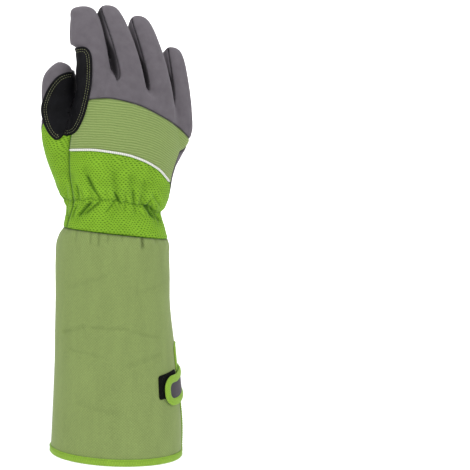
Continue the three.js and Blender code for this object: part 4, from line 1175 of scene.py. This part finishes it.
CUFF_PLEATS = table(
    "x0 z0 x1 z1 deep wide",
    (-24.0, 228.0, -25.0, 216.0, 0.7, 1.5), (-16.4, 228.0, -17.0, 214.0, 0.9, 1.6),
    (-7.7, 228.0, -8.0, 217.0, 0.7, 1.5), (5.0, 228.0, 6.0, 218.0, 0.5, 1.5),
    (25.1, 226.0, 25.6, 211.0, 2.2, 1.5), (38.0, 224.0, 39.0, 214.0, 0.5, 1.6),
    (-38.0, 228.0, -39.5, 217.0, 0.5, 1.6),
)
CUFF_FOLDS = table(
    "x0 z0 x1 z1 deep wide",
    (-52.0, 128.0, -30.0, 136.0, 1.3, 3.0), (-26.0, 135.0, 12.0, 133.0, 1.1, 3.0),
    (14.0, 131.0, 42.0, 122.0, 1.0, 3.5), (-46.0, 112.0, -12.0, 106.0, 0.8, 3.0),
    (-48.0, 172.0, -8.0, 186.0, 0.7, 4.5), (10.0, 96.0, 44.0, 106.0, 0.8, 4.0),
    (-40.0, 60.0, 6.0, 50.0, 0.7, 5.0), (18.0, 166.0, 50.0, 176.0, 0.6, 4.0),
)


def cuff_section(height):
    """Centre, directions and sizes of the cuff's outline at heights above its mouth."""
    at = np.clip(height / CUFF_LENGTH, 0, 1)
    across, out = facing(column(CUFF_SECTIONS, "turn", at), column(CUFF_SECTIONS, "tilt", at))
    return {
        "centre": np.stack([column(CUFF_SECTIONS, "x", at) * CUFF_MOUTH_WIDTH, 0 * at, height + 0 * at], -1),
        "across": across,
        "out": out,
        "width": column(CUFF_SECTIONS, "width", at) * CUFF_MOUTH_WIDTH,
        "depth": column(CUFF_SECTIONS, "depth", at) * CUFF_MOUTH_DEPTH,
        "arch": 0 * at,
        "square": 2,
    }


def cuff_surface(angle, height, lift):
    """Points over the cuff's outside by angle and height, pressed in at its pleats and folds."""
    section = cuff_section(height)
    place = outline(section, angle)
    front = np.sin(angle) > 0
    x, z = place[..., 0].ravel(), place[..., 2].ravel()
    pressed = (crease_depth(CUFF_PLEATS, x, z) + crease_depth(CUFF_FOLDS, x, z)).reshape(front.shape)
    ease = smooth(height, CUFF_LENGTH - 16, CUFF_LENGTH) * (0.25 * np.cos(31 * angle + np.sin(4 * angle)))
    ripple = 0.35 * np.sin(3 * angle + height / 31) + 0.3 * np.sin(5 * angle - height / 22)
    pressed = np.where(front, pressed, 0) - ease - ripple * smooth(height, 12, 60)
    return outline(section, angle, lift - pressed)


def arc_radius(angle, height):
    """Millimetres of cloth for each radian round the cuff at an angle."""
    section = cuff_section(height)
    return np.hypot(np.sin(angle) * section["width"], np.cos(angle) * section["depth"]) / 2


def vent_angle(height):
    """The slit's middle, in radians: it leans a little as it climbs."""
    return np.radians(VENT_ANGLE + VENT_LEAN * np.maximum(height, 0) / VENT_LENGTH)


def vent_half(height):
    """Half the slit's opening: straight, with round corners at the mouth, and closed at its top."""
    below = np.clip(VENT_CORNER - height, 0, None)
    corner = VENT_CORNER - np.sqrt(np.clip(VENT_CORNER**2 - below**2, 0, None))
    top = np.sqrt(np.clip(1 - np.clip((height - VENT_LENGTH + VENT_LID) / VENT_LID, 0, 1) ** 2, 0, 1))
    return (VENT_WIDTH / 2 + corner) * top


def canvas_finish(name, code, pitch):
    """Plain weave: threads along and across as two sines of the cloth's coordinates, with slow clouds of
    tone, and painted shade in creases and along seams.
    """
    finish, tree, shader = new_finish(name)
    split = add(tree, "ShaderNodeSeparateXYZ", {0: add(tree, "ShaderNodeUVMap").outputs[0]})
    waves = [maths(tree, "SINE", maths(tree, "MULTIPLY", split.outputs[k], math.pi / pitch)) for k in (0, 1)]
    thread = ranged(tree, maths(tree, "MULTIPLY", *waves), -1.0)
    place = add(tree, "ShaderNodeTexCoord").outputs["Object"]
    slub = add(tree, "ShaderNodeMapping", {0: place, 3: (1.0, 1.0, 0.25)}).outputs[0]
    cloud = mottle(tree, slub, 9, 0.88, 1.12, 5.0)
    tone = maths(tree, "MULTIPLY", cloud, mottle(tree, place, 1.3, 0.82, 1.18))
    tone = maths(tree, "MULTIPLY", tone, ranged(tree, thread, 0.0, 1.0, 0.86, 1.1))
    # Painted shade in the creases and along the seam at the top, carried by the mesh.
    pressed = add(tree, "ShaderNodeAttribute", attribute_name="painted_shade").outputs["Fac"]
    pressed = maths(tree, "MULTIPLY", pressed, 0.9, use_clamp=True)
    shade = mixed(tree, pressed, toned(tree, colour(code), tone), colour(OLIVE_SHADE))
    dress(tree, shader, shade, (thread, 0.4, 0.2), 0.9, 0.25, 0.15)
    return finish


def corner_heights(count):
    """Heights up the round corner at the slit's foot."""
    return VENT_CORNER * (1 - np.cos(np.linspace(0, math.pi / 2, count)))


CANVAS = "8c9f5e"
CANVAS_PITCH = 1.35
CUFF_RADIUS = 58  # millimetres of cloth for each radian round the cuff
CUFF_COLUMNS = 260
around = np.linspace(0, 1, CUFF_COLUMNS)
slit_side = np.linspace(VENT_CORNER, VENT_LENGTH - VENT_LID, 60)
slit_top = np.linspace(VENT_LENGTH - VENT_LID + 0.5, VENT_LENGTH, 6)
above_slit = np.linspace(VENT_LENGTH + 2, CUFF_LENGTH, 70)
up = np.concatenate([corner_heights(12)[:-1], slit_side, slit_top, above_slit])
heights, shares = np.meshgrid(up, around, indexing="ij")
middle_angle = vent_angle(heights)
half = vent_half(heights) / arc_radius(middle_angle, heights)
angles = middle_angle + half + shares * (2 * math.pi - 2 * half)
rows, columns = heights.shape
grid_index = np.arange(rows * columns).reshape(rows, columns)
closed_rows = up > VENT_LENGTH - 0.01
grid_index[closed_rows, -1] = grid_index[closed_rows, 0]
triangles = grid_index.ravel()[halves(wound(rows, columns, around=False))]
outside = cuff_surface(angles, heights, 0.0).reshape(-1, 3)
inside = cuff_surface(angles, heights, -CUFF_WALL).reshape(-1, 3)
points, faces, source = wall_between(outside, inside, triangles)
cuff = put_mesh("cuff_canvas", points, outward(points, faces))
carry_uv(cuff, (angles.ravel() * CUFF_RADIUS)[source], heights.ravel()[source])
x, z = outside[:, 0], outside[:, 2]
# Painted shade in the pleats and folds on the cuff's front, and a dark line of painted shade along the wrist
# seam.
shade = 0.45 * crease_depth(CUFF_PLEATS, x, z, 0.8, 0.3) + 0.11 * crease_depth(CUFF_FOLDS, x, z, 0.6)
wrist_seam_shade = 0.6 * bell(heights.ravel(), 1.1, CUFF_LENGTH)
shade = np.where(np.sin(angles.ravel()) > 0, shade, 0) + wrist_seam_shade
carry(cuff, "painted_shade", np.clip(shade, -0.25, 1)[source])
canvas = canvas_finish("cotton_canvas", CANVAS, CANVAS_PITCH)
cuff.data.materials.append(canvas)
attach(cuff, "root")
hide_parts("cuff_sleeve")


# Cuff binding
# A lime tape folded over the raw edge of the canvas, round the mouth and up and down the slit.
# It shows 6.5 mm wide on both sides, with a row of stitches near its edge.
TAPE_LIME = "8fb83c"
TAPE_PITCH = 1.3
TAPE_THICKNESS = 0.9
TAPE_THREAD = "86b52e"
TAPE_STITCH_PITCH = 2.6
TAPE_STITCH_LENGTH = 1.9
TAPE_STITCH_RADIUS = 0.3
BINDING_WIDTH = 6.5


def mouth_path(count=360, climb=60):
    """Angles and heights along the cuff's cut edge: the mouth, a corner, up the slit, over and down again."""
    side = np.linspace(VENT_CORNER, VENT_LENGTH - VENT_LID, climb)
    lid = VENT_LENGTH - VENT_LID + VENT_LID * np.sin(np.linspace(0, math.pi / 2, 8)[1:])
    heights_up = np.concatenate([corner_heights(14)[1:-1], side, lid])
    offset = vent_half(heights_up) / arc_radius(vent_angle(heights_up), heights_up)
    left = vent_angle(heights_up) - offset
    right = vent_angle(heights_up) + offset
    start = vent_angle(np.zeros(1))[0]
    corner = vent_half(np.zeros(1))[0] / arc_radius(np.array([start]), np.zeros(1))[0]
    mouth = np.linspace(start + corner, start + 2 * math.pi - corner, count)
    path_angle = np.concatenate([mouth, left + 2 * math.pi, right[-2::-1] + 2 * math.pi])
    path_height = np.concatenate([0 * mouth, heights_up, heights_up[-2::-1]])
    return path_angle, path_height


def bound_edge(angle, height, profile, surface):
    """A folded tape: a closed profile, as distances into the cloth and above it, along a closed edge."""
    reach = arc_radius(angle, height)
    turn = np.roll(angle, -1) - np.roll(angle, 1)
    turn = (turn + math.pi) % (2 * math.pi) - math.pi
    ahead = unit(np.stack([turn * reach, np.roll(height, -1) - np.roll(height, 1)], -1))
    inward = np.stack([-ahead[:, 1], ahead[:, 0]], -1)
    into, lift = profile.T
    angles = angle[:, None] + inward[:, :1] * into / reach[:, None]
    heights = height[:, None] + inward[:, 1:] * into
    return surface(angles, heights, lift + 0 * heights)


def sew_tape(name, line):
    """A row of lime stitches along a line on a tape, given as points and others straight above them."""
    low, high = line[:, 0], line[:, 1]
    row = stitch_row(low, unit(high - low), np.ones(len(low), bool), TAPE_STITCH_PITCH)
    put_stitches(name, [row], TAPE_THREAD, TAPE_STITCH_LENGTH, TAPE_STITCH_RADIUS)


def folded_profile(width, wall, thick):
    """The cross-section of a tape folded over an edge: flat outside, round over the edge, flat inside."""
    return np.array(
        [
            (width, 0.15), (width, thick * 0.8), (width - 0.7, thick + 0.25), (width / 2, thick + 0.2),
            (0.6, thick + 0.3), (-0.7, 0.1), (-1.1, -wall / 2), (-0.7, -wall - 0.1),
            (0.6, -wall - thick - 0.3), (width / 2, -wall - thick - 0.2),
            (width - 0.7, -wall - thick - 0.25), (width, -wall - thick * 0.8), (width, -wall - 0.15),
            (0.3, -wall - 0.1), (0.0, -wall / 2), (0.3, 0.1),
        ]
    )


edge_angle, edge_height = mouth_path()
tape_profile = folded_profile(BINDING_WIDTH, CUFF_WALL, TAPE_THICKNESS)
grid = bound_edge(edge_angle, edge_height, tape_profile, cuff_surface)
rings, sides = grid.shape[:2]
points = grid.reshape(-1, 3)
binding = put_mesh("cuff_tape", points, outward(points, wound(rings, sides, True)))
carry_uv(binding, np.repeat(run_along(grid[:, 3]), sides), np.tile(np.linspace(0, 16, sides), rings))
tape = canvas_finish("woven_tape", TAPE_LIME, TAPE_PITCH)
binding.data.materials.append(tape)
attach(binding, "root")
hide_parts("cuff_binding")
seam_profile = np.array([(BINDING_WIDTH - 1.3, 1.25), (BINDING_WIDTH - 1.3, 2.25)])
sew_tape("cuff_tape_stitches", bound_edge(edge_angle, edge_height, seam_profile, cuff_surface))


# The closing tab
# A suede tab bound in lime tape is sewn on the far side of the slit, comes round over it and closes on a
# black patch of hook cloth. Only its round end shows from the back of the hand.
TAB_LENGTH = 68
TAB_WIDTH = 30
TAB_CORNER = 13
TAB_WALL = 1.4
TAB_HEIGHT = 71.5
TAB_BORDER = 7.2
TAB_ANGLE = 48
TAB_SLOPE = 0.03
TAB_RISE = 0.16
TAB_LEVEL = 20
TAB_SINK = 0.7
TAB_SEWN = 0.7  # from here on it sinks to where it is sewn
TAB_LIFT = 1.95
TAB_SUEDE = "47444a"
OUTLINE_STEP = 1.2
LOOP_LENGTH = 30
LOOP_WIDTH = 24
LOOP_ANGLE = 54
LOOP_WALL = 1
LOOP_HEIGHT = 75.5
LOOP_RISE = 0.14


def near_cuff(start, along, height, lift):
    """A point on the cuff so many millimetres round it from an angle."""
    angle = math.radians(start)
    middle = angle - along / 2 / arc_radius(np.array(angle), height)
    return cuff_surface(angle - along / arc_radius(middle, height), height, lift)


def tab_surface(along, across, lift):
    """The tab's own sheet: it follows the cuff over the hook patch and sinks to it where it is sewn."""
    sewn = smooth(along, TAB_SEWN * TAB_LENGTH, TAB_LENGTH)
    base = TAB_LIFT * (1 - TAB_SINK * sewn)
    climb = TAB_RISE * np.clip(along - TAB_LEVEL, 0, None)
    return near_cuff(TAB_ANGLE, along, TAB_HEIGHT + TAB_SLOPE * along + climb + across, base + lift)


def loop_surface(along, across, lift):
    """The hook patch's sheet on the cuff."""
    return near_cuff(LOOP_ANGLE, along, LOOP_HEIGHT + along * LOOP_RISE + across, lift)


def round_ended(length, width, corner, far_corner, inset, steps=12):
    """A flat outline with rounded corners, larger at its free end, as places along and across it."""
    quarter = np.linspace(0, math.pi / 2, steps)
    pieces = []
    for centre_at, side, radius, start in (
        (corner, 1, corner, math.pi / 2),
        (corner, -1, corner, math.pi),
        (length - far_corner, -1, far_corner, -math.pi / 2),
        (length - far_corner, 1, far_corner, 0),
    ):
        along = centre_at + (radius - inset) * np.cos(start + quarter)
        across = side * (width / 2 - radius) + (radius - inset) * np.sin(start + quarter)
        pieces.append(np.stack([along, across], -1))
    return np.vstack(pieces)


def padded_sheet(shape, spine, levels, surface):
    """A closed pad: its outline drawn in towards a middle line, over the levels from under to upper side."""
    centre = np.stack([np.clip(shape[:, 0], *spine), 0 * shape[:, 0]], -1)
    share, lift = levels.T
    flat = centre[:, None] + (shape - centre)[:, None] * share[None, :, None]
    points = surface(flat[..., 0], flat[..., 1], lift + 0 * flat[..., 0])
    count, deep = points.shape[:2]
    return points.reshape(-1, 3), wound(count, deep, closed=True, around=False)


def resampled(shape, step=OUTLINE_STEP):
    """A closed outline with its points evenly spaced."""
    ring = np.vstack([shape, shape[:1]])
    run = run_along(ring)
    where = np.linspace(0, run[-1], int(run[-1] / step) + 1)[:-1]
    return np.stack([np.interp(where, run, ring[:, k]) for k in range(2)], -1)


def merge_doubles(piece):
    """Welds the points of a piece that lie on each other."""
    work = bmesh.new()
    work.from_mesh(piece.data)
    bmesh.ops.remove_doubles(work, verts=work.verts, dist=1e-6)
    bmesh.ops.recalc_face_normals(work, faces=work.faces)
    work.to_mesh(piece.data)
    work.free()


fine_share = np.concatenate([np.linspace(0, 0.9, 10), [0.96, 1.0]])


def pad_levels(low, high, soft):
    """Shares and lifts over a pad's section: flat below, a rounded edge and a slightly crowned top."""
    under = np.stack([fine_share, np.full(len(fine_share), low)], -1)
    over = fine_share[::-1]
    crown = high - soft * np.clip(over - 0.9, 0, None) / 0.1
    return np.vstack([under, np.stack([over, crown], -1)])


def put_pad(name, shape, spine, levels, surface, finish, node):
    """Makes a pad with its finish, hangs it on the root and hides the model's part that it stands for."""
    piece = put_mesh(name, *padded_sheet(shape, spine, levels, surface))
    merge_doubles(piece)
    piece.data.materials.append(finish)
    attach(piece, "root")
    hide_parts(node)
    return piece


def hook_finish(name):
    """Hook cloth: a dense field of stiff loops that catch single points of light."""
    finish, tree, shader = new_finish(name)
    place = add(tree, "ShaderNodeTexCoord").outputs["Object"]
    hooks = add(tree, "ShaderNodeTexVoronoi", {"Vector": place, "Scale": 1 / (1.4 * MM)}).outputs["Distance"]
    shade = mixed(tree, hooks, colour("0d0e0c"), colour("030403"))
    dress(tree, shader, shade, (hooks, 0.9, 0.6), 0.7, 0.1, invert=True)
    return finish


loop_shape = resampled(round_ended(LOOP_LENGTH, LOOP_WIDTH, 3, 3, 0))
loop_spine = (LOOP_WIDTH / 2, LOOP_LENGTH - LOOP_WIDTH / 2)
loop_levels = pad_levels(0.3, 0.3 + LOOP_WALL, 0.4)
hooks = hook_finish("hook_cloth")
put_pad("hook_patch", loop_shape, loop_spine, loop_levels, loop_surface, hooks, "loop_patch")
tab_shape = resampled(round_ended(TAB_LENGTH, TAB_WIDTH, TAB_CORNER, 6, TAB_BORDER - 0.6))
tab_spine = (TAB_WIDTH / 2, TAB_LENGTH - TAB_WIDTH / 2)
tab_levels = pad_levels(0.0, TAB_WALL, 0.2)
tab_suede = suede_finish("tab_suede", TAB_SUEDE, 0.09, sewn=False)
put_pad("tab_middle", tab_shape, tab_spine, tab_levels, tab_surface, tab_suede, "closure_tab")


def bound_tab(shape, profile, surface):
    """The folded tape round a flat outline: the profile's distances run inwards from it."""
    ahead = unit(np.roll(shape, -1, axis=0) - np.roll(shape, 1, axis=0))
    inward = np.stack([-ahead[:, 1], ahead[:, 0]], -1)
    into, lift = profile.T
    flat = shape[:, None] + inward[:, None] * into[None, :, None]
    return surface(flat[..., 0], flat[..., 1], lift + 0 * flat[..., 0])


tab_profile = np.array(
    [
        (TAB_BORDER, 0.2), (TAB_BORDER, 1.5), (TAB_BORDER - 0.6, 1.95), (TAB_BORDER * 0.75, 2.35),
        (TAB_BORDER / 2, 2.6), (TAB_BORDER / 4, 2.4), (0.9, 1.95), (0.1, 1.5), (-0.1, 0.8), (0.1, 0.2),
        (0.8, 0.0), (TAB_BORDER - 0.6, 0.0),
    ]
)
ring = resampled(round_ended(TAB_LENGTH, TAB_WIDTH, TAB_CORNER, 6.5, 0))
grid = bound_tab(ring, tab_profile, tab_surface)
rings, sides = grid.shape[:2]
points = grid.reshape(-1, 3)
tab_tape = put_mesh("tab_tape", points, outward(points, wound(rings, sides, True)))
tape_run = np.arange(rings) * OUTLINE_STEP
carry_uv(tab_tape, np.repeat(tape_run, sides), np.tile(np.linspace(0, 12, sides), rings))
tab_tape.data.materials.append(tape)
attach(tab_tape, "root")
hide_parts("tab_binding")
tab_seam = np.array([(TAB_BORDER - 1.2, 1.95), (TAB_BORDER - 1.2, 2.95)])
sew_tape("tab_stitches", bound_tab(ring, tab_seam, tab_surface))


# The studio
# A white floor rises into a white wall 4.8 m behind. Broad soft lights, and the camera of a product picture:
# 1.15 m away, 5 degrees above the middle of the glove, which stands left of the picture's middle.
DISTANCE = 1150
AIM = 221
ELEVATION = 5
LENS = 88.1
SHIFT = 0.253
FLOOR_WHITE = "fbfbfb"
FLOOR_BELOW = 0.12
FLOOR_HALF = 4
FLOOR_FRONT = -3
WALL_FOOT = 4
WALL_CURVE = 0.8
WALL_TOP = 4.5

low_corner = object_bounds()[0]
bend = np.linspace(0, math.pi / 2, 12)[1:]
ground = np.linspace(FLOOR_FRONT, WALL_FOOT, 12)
depth = np.concatenate([ground, WALL_FOOT + WALL_CURVE * np.sin(bend), [WALL_FOOT + WALL_CURVE]])
rise = np.concatenate([0 * ground, WALL_CURVE * (1 - np.cos(bend)), [WALL_TOP]])
across = np.linspace(-FLOOR_HALF, FLOOR_HALF, 8)
height = np.repeat(rise, len(across)) + low_corner[2] - FLOOR_BELOW
sweep = np.stack([np.tile(across, len(depth)), np.repeat(depth, len(across)), height], -1)
floor = put_mesh("studio_floor", sweep / MM, wound(len(depth), len(across), around=False)[:, ::-1])
finish, tree, shader = new_finish("studio_paper")
shader.inputs["Base Color"].default_value = colour(FLOOR_WHITE)
shader.inputs["Roughness"].default_value = 0.9
floor.data.materials.append(finish)

world = bpy.data.worlds.new("studio_air")
bpy.context.scene.world = world
world.use_nodes = True
world.node_tree.nodes["Background"].inputs["Color"].default_value = colour("ffffff")
world.node_tree.nodes["Background"].inputs["Strength"].default_value = 0.46


def hang_light(name, place, target, size, power):
    """A square soft light at a place that shines at a target."""
    lamp = bpy.data.lights.new(name, "AREA")
    lamp.size = size
    lamp.energy = power
    holder = bpy.data.objects.new(name, lamp)
    holder.location = place
    away = Vector(place) - Vector(target)
    holder.rotation_euler = away.to_track_quat("Z", "Y").to_euler()
    bpy.context.scene.collection.objects.link(holder)


glove_middle = (0, 0, AIM * MM)
hang_light("left_softbox", (-1.3, -1.2, 1.3), glove_middle, 0.9, 12)
hang_light("right_softbox", (1.3, -1.1, 0.8), glove_middle, 0.9, 7.5)
hang_light("top_softbox", (0.0, 0.1, 1.8), glove_middle, 1.2, 10)
hang_light("wall_softbox", (0.6, 2.7, 2.8), (0.6, 4.6, 0.3), 2.0, 170)
bpy.context.scene.view_settings.view_transform = "Standard"

lens = bpy.data.cameras.new("product_camera")
lens.lens = LENS
lens.sensor_width = 36
lens.shift_x = SHIFT
camera = bpy.data.objects.new("product_camera", lens)
tilt = math.radians(ELEVATION)
camera.location = (0, -DISTANCE * MM * math.cos(tilt), (AIM + DISTANCE * math.sin(tilt)) * MM)
camera.rotation_euler = (math.pi / 2 - tilt, 0, 0)
bpy.context.scene.collection.objects.link(camera)
bpy.context.scene.camera = camera
